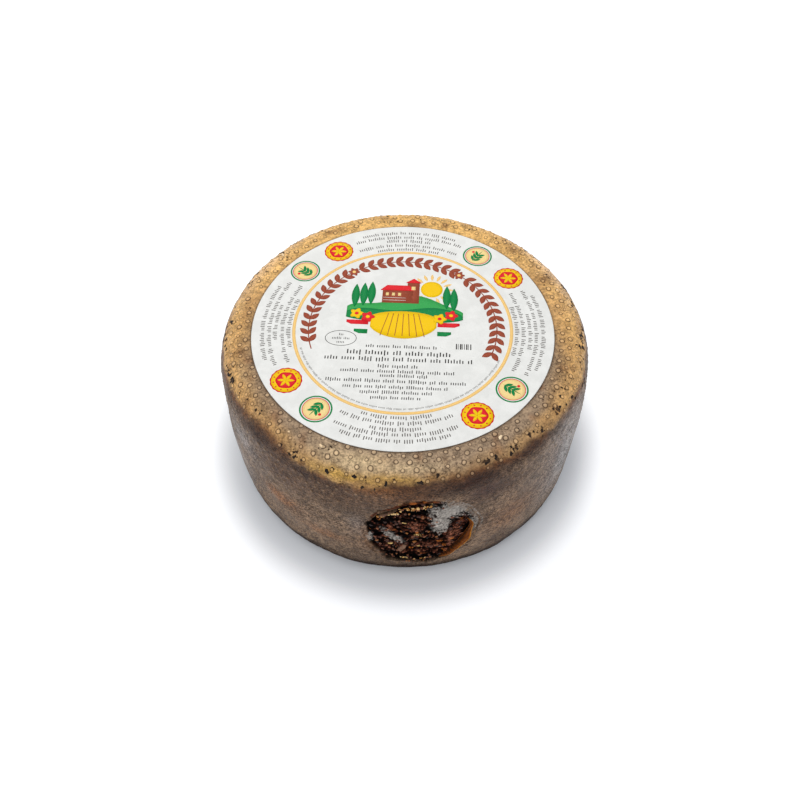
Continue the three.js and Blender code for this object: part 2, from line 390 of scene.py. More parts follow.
# ------------------------ the wheel's form
@dataclass(frozen=True)
class WheelForm:
    """The wheel's plain form: a squat drum with soft shoulders, as in the CAD source.

    Attributes:
        height: from the foot to the top face.
        diameter: across the widest part of the side.
        bulge: how much the side swells between the edges and the middle.
        top_flat, foot_flat: radii of the two flats.
        shoulder_drop, foot_rise: heights of the two rounded edges.
        shoulder_power, foot_power: 2 is a plain ellipse, more is squarer.
    """

    height: float
    diameter: float = 180.0
    bulge: float = 2.2
    top_flat: float = 75.5
    foot_flat: float = 77.0
    shoulder_drop: float = 14.0
    foot_rise: float = 11.0
    shoulder_power: float = 2.1
    foot_power: float = 2.0

    def side_radius(self, z: Array) -> Array:
        """Radius of the plain side at a height: a parabola that is widest at mid-height."""
        return self.diameter / 2 - self.bulge * (2.0 * z / self.height - 1.0) ** 2

    def rounded(self, turn: Array, power: float) -> Pair:
        """Shares w and v of an edge's height and of the way out, where w^power + v^power = 1."""
        return np.cos(turn) ** (2.0 / power), np.sin(turn) ** (2.0 / power)

    @cached_property
    def profile(self) -> tuple[Array, Array, Array]:
        """Run, radius and height of points down the profile, from the axis at the top to the axis below."""
        turn = np.linspace(0.0, math.pi / 2, 400)
        rise, out = self.rounded(turn, self.shoulder_power)
        shoulder_z = self.height - self.shoulder_drop * (1.0 - rise)
        shoulder_r = blend(self.top_flat, self.side_radius(shoulder_z), out)
        side_z = np.linspace(self.height - self.shoulder_drop, self.foot_rise, 400)[1:-1]
        rise, out = self.rounded(turn[::-1], self.foot_power)
        foot_z = self.foot_rise * (1.0 - rise)
        foot_r = blend(self.foot_flat, self.side_radius(foot_z), out)
        radius = np.concatenate([[0.0], shoulder_r, self.side_radius(side_z), foot_r, [0.0]])
        z = np.concatenate([[self.height], shoulder_z, side_z, foot_z, [0.0]])
        run = np.concatenate([[0.0], np.cumsum(np.hypot(np.diff(radius), np.diff(z)))])
        return run, radius, z

    def radius_at(self, run: Array) -> Array:
        """Radius of the surface at a run."""
        return np.interp(run, *self.profile[:2])

    def z_at(self, run: Array) -> Array:
        """Height of the surface at a run."""
        return np.interp(run, self.profile[0], self.profile[2])

    def run_at_z(self, z: Array) -> Array:
        """Run of the shoulder, side or foot at a height."""
        return np.interp(-z, -self.profile[2][1:-1], self.profile[0][1:-1])

    def run_at_radius(self, radius: Array) -> Array:
        """Run of the top face or shoulder at a radius."""
        widest = int(np.argmax(self.profile[1]))
        return np.interp(radius, self.profile[1][:widest], self.profile[0][:widest])

    def sway(self, bearing: Array, z: Array) -> Array:
        """How far the side departs from a true round: waves of 2, 4 and 6 to a turn, none at the flats."""
        oval = 0.55 * np.cos(2.0 * bearing + 0.6) + 0.3 * np.cos(4.0 * bearing - 1.1)
        return np.sin(math.pi * z / self.height) * (oval + 0.22 * np.sin(6.0 * bearing + z / 17.0))

    def at(self, bearing: Array, run: Array, outward: Array | float = 0.0) -> Array:
        """Places on the surface: the profile's point is turned to the bearing, swayed and moved outward.

        Args:
            bearing, run: where they are.
            outward: distances from the surface along its normal, which the profile's direction gives.

        Returns:
            Points, with x, y and z along a new last axis.
        """
        runs, radii, heights = self.profile
        z = self.z_at(run)
        radius = self.radius_at(run) + self.sway(bearing, z)
        slope_r = np.interp(run, runs, np.gradient(radii, runs))
        slope_z = np.interp(run, runs, np.gradient(heights, runs))
        length = np.maximum(np.hypot(slope_r, slope_z), 1e-9)
        radius = radius - slope_z / length * outward
        z = z + slope_r / length * outward
        return np.stack([radius * np.cos(bearing), radius * np.sin(bearing), z], -1)


# ------------------------ the scorched scar's plan
@dataclass(frozen=True)
class ScarPlan:
    """Where the hot iron has burnt the side, as in the CAD source. Right and up are measured from its middle.

    Attributes:
        form: the wheel.
        width, height: size of the burnt oval.
        bearing: its direction from the axis.
        middle: height of its middle above the foot.
    """

    form: WheelForm
    width: float = 50.0
    height: float = 55.0
    bearing: float = math.radians(-85.9)
    middle: float = 42.5

    def place(self, right: Array, up: Array) -> Pair:
        """Bearing and run of a point of the scar."""
        return self.bearing + right / (self.form.diameter / 2), self.form.run_at_z(self.middle + up)

    def offset(self, bearing: Array, run: Array) -> Pair:
        """Right and up of a place on the wheel, with right between half a turn either way."""
        turn = (bearing - self.bearing + math.pi) % FULL_TURN - math.pi
        return turn * self.form.diameter / 2, self.form.z_at(run) - self.middle

    def polar(self, right: Array, up: Array) -> Pair:
        """Where a point lies between the middle and the ragged outline.

        Args:
            right, up: of the point.

        Returns:
            Its share, 0 in the middle and 1 on the outline, and its angle, 0 right and a quarter turn up.
        """
        across, along = right / (self.width / 2), up / (self.height / 2)
        angle = np.arctan2(along, across)
        return np.hypot(across, along) / self.ragged(angle), angle

    def share(self, bearing: Array, run: Array) -> Array:
        """Share of the way from the middle to the outline at a place on the wheel."""
        return self.polar(*self.offset(bearing, run))[0]

    def ragged(self, angle: Array) -> Array:
        """How far the outline departs from a true oval, as a factor near 1."""
        return 1.0 + 0.018 * np.sin(5.0 * angle + 0.4) + 0.014 * np.sin(11.0 * angle)

    def on_outline(self, angle: Array, share: Array | float) -> Pair:
        """Right and up of the point at an angle and a share of the way to the outline."""
        reach = share * self.ragged(angle)
        return self.width / 2 * reach * np.cos(angle), self.height / 2 * reach * np.sin(angle)


@dataclass(frozen=True)
class Patch:
    """A soft oval patch.

    Attributes:
        x, y: its middle, as a bearing in degrees and a run, or on the scar as right and up.
        wide, high: its half sizes.
        strength: its value in the middle.
        tilt: its turn, counterclockwise in degrees.
    """

    x: float
    y: float
    wide: float
    high: float
    strength: float
    tilt: float = 0.0

    def value(self, x: Array, y: Array) -> Array:
        """Its strength at each place: a bell that falls to a third at the half sizes.

        Args:
            x, y: the places.

        Returns:
            One number for each.
        """
        c, s = math.cos(math.radians(self.tilt)), math.sin(math.radians(self.tilt))
        dx, dy = x - self.x, y - self.y
        return self.strength * bell(dx * c + dy * s, 0.0, self.wide) * bell(dy * c - dx * s, 0.0, self.high)

    def on_wheel(self, degrees: Array, run: Array | float) -> Array:
        """Its strength where x goes round the wheel: the way from its middle is held within half a turn."""
        return self.value((degrees - self.x + 180.0) % 360.0 - 180.0 + self.x, run)


def patches(*rows: tuple[float, ...]) -> tuple[Patch, ...]:
    """Patches from rows of middle, half sizes, strength and, where there is one, tilt."""
    return tuple(Patch(*row) for row in rows)


# ------------------------ the rind
@dataclass(frozen=True)
class Seat:
    """The round place that the label takes up, which hides the rind.

    Attributes:
        centre: its middle, over the top face.
        radius: of the label.
    """

    centre: tuple[float, float]
    radius: float

    def beyond(self, points: Array) -> Array:
        """How far places are outside the label's edge, less than 0 under it."""
        return np.hypot(points[..., 0] - self.centre[0], points[..., 1] - self.centre[1]) - self.radius


class Tone(Colour):
    """Colours of the rind's ground, which its grain and cracks then lighten and darken."""

    SIDE = "#8b7159"
    # Partly grey mould bloom, partly a painted reflection of the pale surround.
    SLATE = "#6b5745"
    BLOOM = "#b2b0b0"
    # Partly a dusky stain, partly painted shade under the shoulder.
    DUSK_AND_SHADE = "#5e432f"
    PLUM = "#3b1e16"
    RUST = "#9b683f"
    FACE = "#a1896f"
    TAN = "#ad8a60"
    # CREAM, OLIVE and AMBER also lay pale and golden bands on the shoulder that are partly painted highlight.
    CREAM = "#d2b78e"
    OLIVE = "#c59b4c"
    AMBER = "#d4a669"
    GOLD = "#e8b86f"
    BROWN = "#7c4d26"
    UMBER = "#3a2013"
    # Partly the foot's own dark stain, partly painted contact shadow where the wheel meets the table.
    DARK_FOOT_AND_SHADOW = "#1c0e09"
    PEACH = "#f6cd9e"


Tints = tuple[tuple[Tone, tuple[Patch, ...]], ...]


@dataclass(frozen=True)
class RindSkin:
    """The rind's relief and its colour, as fields over the wheel.

    Attributes:
        form: the wheel.
        scar: the scorched scar.
        seat: where the label lies.
        border_run: run at which the top face's colours end.
        border_drops: how much lower they end in places.
        side_tints: tones and patches of the side's ground, in the order in which they are laid down.
        rim_tints: those that are laid over both the side and the top face.
        set_back: depth that the rind is set back under the scar's crust.
        hidden: how far the rind lies under its plain form where the label hides it.
    """

    form: WheelForm
    scar: ScarPlan
    seat: Seat
    border_run: float = 89.0
    border_drops: tuple[Patch, ...] = patches(
        (-105.0, 0.0, 11.0, 1.0, 3.2), (-60.0, 0.0, 24.0, 1.0, -2.2), (-139.0, 0.0, 12.0, 1.0, -2.6)
    )
    side_tints: Tints = (
        # Partly mould bloom, partly painted reflection: pale blue-grey patches, most at the left and right
        # sides.
        (Tone.BLOOM, patches(
            (-147.0, 107.5, 9.0, 9.0, 0.45), (-160.0, 134.0, 12.0, 14.0, 0.4),
            (-31.0, 116.0, 12.0, 30.0, 0.7), (-104.0, 122.0, 3.4, 8.0, 0.25),
            (90.0, 138.0, 40.0, 12.0, 0.45), (5.0, 134.0, 12.0, 12.0, 0.45),
        )),
        # Partly painted shade: dusky patches, most just under the shoulder, darken the side's upper part.
        (Tone.DUSK_AND_SHADE, patches(
            (-127.0, 103.0, 14.0, 10.0, 0.95), (-107.0, 101.0, 13.0, 9.0, 0.8), (-60.0, 102.0, 9.0, 7.0, 0.6),
            (-41.0, 116.0, 3.0, 15.0, 0.35, 20.0), (-163.0, 122.0, 8.0, 7.0, 0.35),
            (35.0, 106.0, 26.0, 10.0, 0.7), (110.0, 104.0, 24.0, 12.0, 0.8),
        )),
        # Partly painted shade: a dark plum patch just under the shoulder at the right front.
        (Tone.PLUM, patches((-67.0, 99.5, 6.5, 6.5, 0.85))),
        (Tone.RUST, patches(
            (-130.5, 128.0, 6.5, 5.0, 0.95), (-115.5, 139.0, 6.0, 3.4, 0.65), (-100.0, 131.0, 4.0, 12.0, 0.5),
            (-57.0, 130.0, 8.0, 12.0, 0.45), (45.0, 124.0, 12.0, 11.0, 0.7), (128.0, 136.0, 10.0, 8.0, 0.6),
        )),
        (Tone.UMBER, patches((-64.0, 148.0, 2.2, 3.0, 0.5), (-59.0, 150.0, 0.9, 1.2, 0.5))),
    )
    rim_tints: Tints = (
        # Partly painted highlight: a pale cream sheen on the front of the shoulder.
        (Tone.CREAM, patches((-105.0, 80.5, 12.0, 5.0, 0.95), (-89.0, 81.5, 11.0, 3.4, 0.6))),
        (Tone.PEACH, patches((28.0, 83.0, 17.0, 5.0, 0.8), (148.0, 82.5, 20.0, 5.0, 0.6))),
        (Tone.CREAM, patches((-156.0, 79.5, 6.0, 2.4, 0.4))),
        # Partly painted highlight: an olive-gold band along the front edge of the shoulder.
        (Tone.OLIVE, patches((-109.0, 87.5, 11.0, 2.6, 0.95), (-92.0, 86.5, 9.0, 2.0, 0.75))),
        # Partly painted highlight: amber bands along the shoulder's edge at the left and right.
        (Tone.AMBER, patches(
            (-162.0, 83.5, 20.0, 3.4, 0.8), (-134.0, 83.0, 8.0, 2.4, 0.5), (-20.0, 84.5, 22.0, 3.6, 0.8),
            (-48.0, 82.5, 10.0, 2.2, 0.4),
        )),
        (Tone.BROWN, patches(
            (90.0, 86.4, 70.0, 1.8, 0.8), (-92.0, 91.5, 12.0, 4.0, 0.6), (-137.0, 86.5, 9.0, 2.2, 0.6),
            (-66.0, 87.0, 14.0, 2.0, 0.6), (-137.0, 78.5, 2.4, 3.4, 0.5), (23.0, 76.0, 3.0, 4.0, 0.55),
            (42.0, 76.5, 5.0, 3.0, 0.45), (118.0, 76.0, 4.0, 2.2, 0.6), (172.0, 77.0, 8.0, 3.0, 0.3),
        )),
        # Partly painted shade: umber patches in a band just under the shoulder.
        (Tone.UMBER, patches(
            (-138.0, 90.5, 13.0, 4.0, 0.8), (-120.0, 94.5, 13.0, 3.8, 0.75), (-89.0, 89.6, 9.0, 1.6, 0.85),
            (-88.0, 95.0, 9.0, 2.8, 0.5),
        )),
        (Tone.BROWN, patches((-90.0, 97.5, 9.0, 4.5, 0.5))),
        # Partly painted shade: more umber patches just under the shoulder, all round.
        (Tone.UMBER, patches(
            (-71.0, 91.5, 12.0, 4.8, 1.05), (-51.0, 89.0, 11.0, 3.0, 0.85), (-33.0, 90.5, 9.0, 2.0, 0.4),
            (-163.0, 92.0, 12.0, 3.0, 0.4), (20.0, 93.0, 14.0, 4.0, 0.65), (75.0, 94.0, 18.0, 4.5, 0.7),
            (150.0, 93.0, 16.0, 4.0, 0.6),
        )),
    )
    set_back: float = 3.9
    hidden: float = -0.2

    def outward(self, bearing: Array, run: Array) -> Array:
        """The rind's relief: lumps of 14 and 5 mm, a 2 mm grain and, on the side, short level creases.

        Args:
            bearing, run: places on the wheel.

        Returns:
            Distances along the normal. They fade to nothing at the foot, and sink a little under the label.
        """
        points = self.form.at(bearing, run)
        lumps = 0.26 * cloud(points, 14.0, 1) + 0.12 * cloud(points, 5.0, 2)
        skin = 0.07 * cloud(points, 2.0, 3)
        side = smooth(82.0, 96.0, run)
        creases = 0.12 * cloud(points, (3.4, 3.4, 1.7), 4) - 0.36
        crest = 0.12 * cloud(points, 4.0, 5) - 0.1
        foot = smooth(0.0, 6.0, points[..., 2])
        rind = foot * (lumps * (0.4 + 0.6 * side) + skin + blend(crest, creases, side))
        return blend(np.full(rind.shape, self.hidden), rind, smooth(-0.6, 1.4, self.seat.beyond(points)))

    def over(self, bearing: Array, run: Array, lift: Array | float) -> Array:
        """Places at a distance over the rind with its relief."""
        return self.form.at(bearing, run, self.outward(bearing, run) + lift)

    def border(self, degrees: Array) -> Array:
        """Run at which the top face's colours end, lowest a little to the left of the scar."""
        return self.border_run + sum(patch.on_wheel(degrees, 0.0) for patch in self.border_drops)

    def ground(self, bearing: Array, run: Array, points: Array) -> Array:
        """Colour of the rind before its grain: tones laid over one another at places pushed about by noise.

        The side is grey-brown, with dusky, rusty and mouldy patches. The dusky ones just under the shoulder are
        partly painted shade, and the pale blue-grey ones at the left and right are partly a painted reflection
        of the pale surround. The top face is greyish at the front and golden at the back, partly its own tone
        and partly painted light from behind, with brown blots, a brown line along its border and an umber band
        under the shoulder; the line and the band are partly painted shade. Pale and golden bands on the
        shoulder are partly painted highlight. The foot is nearly black: partly its own dark stain, partly
        painted contact shadow.

        Args:
            bearing, run: places on the wheel.
            points: the same places as points.

        Returns:
            Linear red, green and blue along a new last axis.
        """
        drift, ripple, grit = (cloud(points, cell, seed) for cell, seed in ((11.0, 21), (4.0, 22), (1.9, 25)))
        degrees = np.degrees(bearing) + 0.9 * ripple + 0.5 * grit
        lower = run + 1.2 * cloud(points, 6.0, 24) + 0.9 * grit
        colour = painted(Tone.SLATE.rgb, Tone.SIDE.rgb, smooth(-0.9, 0.7, drift + 0.5 * ripple))
        colour = self.tinted(colour, self.side_tints, degrees, lower)
        past = lower - self.border(degrees)
        # Painted light in part: the top face grows lighter and more golden toward the back, where the light is.
        backness = 0.5 + 0.5 * np.sin(bearing) + 0.03 * (run - 77.0) + 0.1 * drift
        face = graded(backness, (0.1, 0.3, 0.5, 0.72), (Tone.FACE, Tone.TAN, Tone.AMBER, Tone.GOLD))
        face = face * (1.0 + 0.09 * ripple + 0.05 * grit)[..., None]
        face = painted(face, Tone.BROWN.rgb, 0.6 * smooth(0.15, 0.95, cloud(points, 5.5, 27)))
        colour = painted(colour, face, smooth(1.7, -1.7, past))
        # Partly painted shade: a brown line just past the top face's border, where the side turns down.
        line = 0.9 * bell(past, 1.0, 1.9) * smooth(-0.8, 0.3, drift + ripple)
        colour = painted(colour, Tone.BROWN.rgb, line)
        colour = self.tinted(colour, self.rim_tints, degrees, lower)
        # Partly painted contact shadow: the foot darkens to nearly black below about 15 mm.
        return painted(colour, Tone.DARK_FOOT_AND_SHADOW.rgb, 0.96 * smooth(15.5, 9.5, points[..., 2] + 0.9 * ripple))

    def tinted(self, colour: Array, tints: Tints, degrees: Array, run: Array) -> Array:
        """Lays patches of tone over a colour, one after another.

        Args:
            colour: linear red, green and blue at each place.
            tints: the tones and their patches.
            degrees, run: the places.

        Returns:
            The new colour.
        """
        for tone, group in tints:
            for patch in group:
                colour = painted(colour, tone.rgb, np.clip(patch.on_wheel(degrees, run), 0.0, 1.0))
        return colour

    def zones(self, bearing: Array, run: Array) -> dict[str, Array]:
        """What the rind's finish reads at each place.

        Args:
            bearing, run: places on the wheel.

        Returns:
            ground, the colour before its grain; crackle, how dark the grain and cracks are, partly as mould in
            the pores and partly as painted shade in the hollows; dry, how much the surface has lost its waxy
            gloss;
            and the dark line along the label's edge, which is painted shade.
        """
        points = self.form.at(bearing, run)
        side = smooth(-2.0, 5.0, run - self.border(np.degrees(bearing)))
        patchy = cloud(points, 9.0, 26)
        return {
            "ground": self.ground(bearing, run, points),
            # Partly mould in the pores, partly painted shade in the hollows: how dark the grain and cracks are
            # drawn.
            "crackle": blend(0.42 + 0.2 * patchy, 0.9 + 0.25 * patchy, side),
            "dry": side * np.clip(0.5 + 0.5 * patchy, 0.0, 1.0),
            # Painted shade: a dark line along the label's edge, where the paper meets the rind.
            "gap_shade": 0.85 * bell(self.seat.beyond(points), 0.0, 0.75),
        }

    def recess(self, bearing: Array, run: Array) -> Array:
        """Depth that the rind is set back under the scar's crust, from a little outside the outline."""
        return self.set_back * smooth(1.09, 1.02, self.scar.share(bearing, run))


@dataclass(frozen=True)
class Rind:
    """The whole rind as one closed skin: a grid of bearings and runs, finer where it shows.

    Attributes:
        skin: its relief and zones.
        columns: points round the wheel, about 0.8 mm apart.
        spacing: from ring to ring, where it shows.
        under_label: how far its fine rings go in under the label.
    """

    skin: RindSkin
    columns: int = 700
    spacing: float = 0.78
    under_label: float = 3.5

    def runs(self) -> Array:
        """Runs of the rings: close from inside the label's edge to the foot, and few on the hidden flats."""
        form = self.skin.form
        foot_start, end = form.run_at_z(np.array([form.foot_rise, 0.0]))
        shown = np.arange(self.skin.seat.radius - self.under_label, foot_start, self.spacing)
        foot = np.linspace(foot_start, end, 17)[1:]
        return np.concatenate([[20.0, 45.0, 60.0], shown, foot, [end + 3.0, end + 20.0, end + 50.0]])

    def build(self, material: Material) -> Object:
        """Makes the rind, which stands for the CAD wheel.

        Args:
            material: its finish.

        Returns:
            The piece.
        """
        form = self.skin.form
        run, bearing = np.meshgrid(self.runs(), round_turn(self.columns) - math.pi, indexing="ij")
        rings = form.at(bearing, run, self.skin.outward(bearing, run) - self.skin.recess(bearing, run))
        poles = np.array([[0.0, 0.0, form.height + self.skin.hidden]]), np.zeros((1, 3))
        shape = ringed(rings[None], *poles)
        for name, value in self.skin.zones(bearing, run).items():
            shape.values[name] = with_poles(value[None], value[:1, 0], value[-1:, -1])
        add_unburnt(shape)
        return to_piece("rind", shape, material, replaces="cheese_wheel")


def add_unburnt(shape: Shape) -> None:
    """Gives a shape the values that rind has away from the nubs and the scar, where it hasn't them yet."""
    for name, columns in (("dome", ()), ("char", ()), ("paint", (3,))):
        shape.values.setdefault(name, np.zeros((len(shape.points), *columns)))


@dataclass(frozen=True)
class Nubs:
    """The low domes left by the holes of the draining mould, each in a thin groove, as in the CAD source.

    The groove is darkened as painted shade, and each dome is lightened toward its top, partly as a paler
    paste and partly as a painted highlight.

    Attributes:
        skin: the rind's relief and zones, which they follow.
        rings, per_ring: rings on the top face, and nubs in each. The CAD source leaves out the last ring.
        start, step: radius of the innermost ring, and distance from one to the next.
        worn, faint_worn: share of them that is rubbed away, and of those of the last ring.
        side_rows: number of rows on the side. The CAD source leaves the lower ones out.
        side_top: height of the uppermost row.
        side_along, side_step: spacing along a row and between rows.
        side_whole, side_gone: wear up to which nubs of the side are whole, and from which they are gone.
        nudge: how far they stand out of line.
        root: depth of their hidden pole.
        segments: points round each nub.
    """

    skin: RindSkin
    rings: int = 4
    per_ring: int = 79
    start: float = 74.9
    step: float = 3.45
    worn: float = 0.07
    faint_worn: float = 0.3
    side_rows: int = 6
    side_top: float = 73.0
    side_along: float = 4.4
    side_step: float = 4.8
    side_whole: float = 0.42
    side_gone: float = 1.15
    nudge: float = 1.1
    root: float = -0.6
    segments: int = 10

    # Radius, height over the rind, painted shade of the groove, and lightening of the dome (partly paler paste,
    # partly painted highlight), for the rings from the top of the dome to its buried edge.
    PROFILE = np.array([
        [0.00, 0.40, 0.00, 1.00],
        [0.44, 0.37, 0.00, 0.95],
        [0.80, 0.26, 0.10, 0.70],
        [0.98, 0.04, 1.00, 0.05],
        [1.20, 0.05, 1.00, 0.00],
        [1.50, 0.09, 0.15, 0.00],
        [1.95, -0.14, 0.00, 0.00],
    ])

    def pick(self, i: Array, row: Array) -> Array:
        """The CAD source's repeatable number for a nub: the fraction of a large multiple of a sine."""
        value = np.sin(i * 127.1 + row * 311.7) * 43758.5453
        return value - np.floor(value)

    def on_top(self) -> Spots:
        """Bearing, run and size of the nubs of the top face: staggered rings round the label."""
        i, ring = np.meshgrid(np.arange(self.per_ring), np.arange(self.rings), indexing="ij")
        bearing = (i + 0.5 * (ring % 2)) / self.per_ring * FULL_TURN
        radius = self.start + self.step * ring
        pick = self.pick(i, ring)
        faint = ring == self.rings - 1
        keep = pick >= np.where(faint, self.faint_worn, self.worn)
        aside, outer = (self.nudge * (chance(np.stack([i, ring], -1), seed) - 0.5) for seed in (31, 33))
        bearing = bearing + aside / radius
        run = self.skin.form.run_at_radius(radius) + outer
        return bearing[keep], run[keep], (0.66 + 0.46 * pick - 0.16 * faint)[keep]

    def on_side(self) -> Spots:
        """Bearing, run and size of the nubs of the side: staggered level rows, worn away in places."""
        around = int(math.pi * self.skin.form.diameter / self.side_along)
        i, row = np.meshgrid(np.arange(around), np.arange(self.side_rows), indexing="ij")
        bearing = (i + 0.5 * (row % 2)) / around * FULL_TURN - math.pi
        run = self.skin.form.run_at_z(self.side_top - row * self.side_step)
        pick = self.pick(i, row)
        wear = 0.5 + 0.5 * np.cos(3.0 * bearing + 3.9) + 0.12 * np.minimum(row, 2) + 0.25 * pick
        left = smooth(self.side_gone, self.side_whole, wear)
        keep = (left > 0.1) & (self.skin.scar.share(bearing, run) > 1.25)
        return bearing[keep], run[keep], (0.5 + 0.4 * left - 0.04 * row)[keep]

    def build(self, material: Material) -> Object:
        """Makes all nubs as one piece: each is the profile turned round a place, over the rind's relief.

        Args:
            material: its finish.

        Returns:
            The piece.
        """
        bearing, run, size = (np.concatenate(pair) for pair in zip(self.on_top(), self.on_side()))
        turn = round_turn(self.segments)
        cells = np.stack(np.meshgrid(np.arange(len(run)), np.arange(self.segments), indexing="ij"), -1)
        uneven = 1.0 + 0.24 * (chance(cells, 34) - 0.5)[:, None, :]
        radius = self.PROFILE[1:, 0][None, :, None] * size[:, None, None] * uneven
        across = radius * np.cos(turn)
        along = -radius * np.sin(turn)
        ring_bearing = bearing[:, None, None] + across / self.skin.form.radius_at(run)[:, None, None]
        ring_run = run[:, None, None] + along
        rubbed = 1.0 - 0.45 * smooth(90.0, 96.0, run)
        tall = size**0.5 * rubbed
        lift = self.PROFILE[1:, 1][None, :, None] * tall[:, None, None]
        tops = self.skin.over(bearing, run, self.PROFILE[0, 1] * tall)
        roots = self.skin.over(bearing, run, self.root)
        shape = ringed(self.skin.over(ring_bearing, ring_run, lift), tops, roots)
        middles = self.skin.zones(bearing, run)
        for name, value in self.skin.zones(ring_bearing, ring_run).items():
            shape.values[name] = with_poles(value, middles[name], middles[name])
        shape.values["crackle"] = 0.55 * shape.values["crackle"]
        firmness = np.clip(0.25 + size * (0.5 + 0.5 * chance(cells[:, 0], 35)), 0.0, 1.0) * rubbed
        # Painted shade in each nub's groove, and a dome lighter toward its top, partly as a painted highlight.
        for name, column in (("gap_shade", 2), ("dome", 3)):
            value = np.broadcast_to(firmness[:, None, None] * self.PROFILE[1:, column][:, None], across.shape)
            shape.values[name] = with_poles(value, firmness * self.PROFILE[0, column], np.zeros(len(run)))
        add_unburnt(shape)
        return to_piece("nubs", shape, material)


@dataclass(frozen=True)
class Specks:
    """Flat ragged specks in the rind: black ones of old mould, and pale chips where a nub has come off.

    Attributes:
        skin: the rind.
        clusters: groups of mould specks along the border of the top face.
        on_face, on_side: lone mould specks on the top face and the side: their count, runs and radii.
        columns: points round a speck.
        lift, root: heights of its face and of its hidden pole.
    """

    skin: RindSkin
    clusters: int = 110
    on_face: tuple[int, tuple[float, float], tuple[float, float]] = (70, (73.5, 86.0), (0.2, 0.5))
    on_side: tuple[int, tuple[float, float], tuple[float, float]] = (60, (90.0, 156.0), (0.15, 0.42))
    columns: int = 9
    lift: float = 0.16
    root: float = -0.6

    def of_mould(self) -> Spots:
        """Bearing, run and radius of mould specks: groups along the border, and lone ones elsewhere."""
        draw = np.random.default_rng(5)
        many = draw.integers(1, 6, self.clusters)
        heart = np.repeat(draw.uniform(-180.0, 180.0, self.clusters), many)
        lower = np.repeat(draw.normal(-2.6, 1.7, self.clusters), many)
        degrees = heart + draw.normal(0.0, 1.1, len(heart))
        run = self.skin.border(heart) + lower + draw.normal(0.0, 0.9, len(heart))
        size = draw.uniform(0.3, 1.0, len(heart)) ** 1.4
        alone, below = (
            [draw.uniform(*ends, count) for ends in ((-180.0, 180.0), runs, sizes)]
            for count, runs, sizes in (self.on_face, self.on_side)
        )
        degrees, run, size = (np.concatenate(parts) for parts in zip((degrees, run, size), alone, below))
        bearing = np.radians(degrees)
        clear = self.skin.seat.beyond(self.skin.form.at(bearing, run)) > 1.0
        clear &= self.skin.scar.share(bearing, run) > 1.15
        return bearing[clear], run[clear], size[clear]

    def of_paste(self) -> Spots:
        """Bearing, run and radius of the pale chips."""
        degrees = np.array([-58.5, -117.5, -129.4, 17.0, 141.0])
        run, size = np.array([77.2, 78.2, 79.6, 79.0, 80.0]), np.array([1.0, 0.7, 0.55, 0.7, 0.8])
        return np.radians(degrees), run, size

    def build(self, name: str, spots: Spots, material: Material) -> Object:
        """Makes specks as one piece: stretched ragged discs, level inside and sinking in at their edge.

        Args:
            name: of the piece.
            spots: their bearings, runs and radii.
            material: their finish.

        Returns:
            The piece.
        """
        bearing, run, size = spots
        count = len(run)
        draw = np.random.default_rng(count)
        turn = round_turn(self.columns)
        reach = size[:, None] * draw.uniform(0.55, 1.35, (count, self.columns))
        stretch, lean = draw.uniform(0.8, 2.0, (count, 1)), draw.uniform(0.0, math.pi, (count, 1))
        x, y = reach * stretch * np.cos(turn), reach * np.sin(turn)
        across, along = x * np.cos(lean) - y * np.sin(lean), -x * np.sin(lean) - y * np.cos(lean)
        across = across / self.skin.form.radius_at(run)[:, None]
        rings = [
            self.skin.over(bearing[:, None] + share * across, run[:, None] + share * along, lift)
            for share, lift in ((0.5, self.lift), (0.85, 0.75 * self.lift), (1.0, -0.2))
        ]
        top, root = (self.skin.over(bearing, run, lift) for lift in (self.lift, self.root))
        shape = ringed(np.stack(rings, 1), top, root)
        shape.values["tone"] = np.repeat(draw.uniform(0.0, 1.0, count), 3 * self.columns + 2)
        return to_piece(name, shape, material)


# ------------------------ the scorched scar
class Burn(Colour):
    """Colours of the burnt crust, from its gaps to its flakes, with the bloom on it."""

    GAP = "#020101"
    COAL = "#120704"
    PLUM = "#4f2a1f"
    RUSSET = "#8f5a45"
    EMBER = "#b8682a"
    CREAM = "#e0b878"
    FACET = "#8f6e5a"
    BLOOM = "#c6beb5"
    SLAB = "#7a604c"


@dataclass(frozen=True)
class Crust:
    """What the scar's crust is like at each place.

    Attributes:
        outward: its distance along the wheel's normal.
        char: how much of its colour is paint rather than rind.
        paint: its linear colour.
    """

    outward: Array
    char: Array
    paint: Array


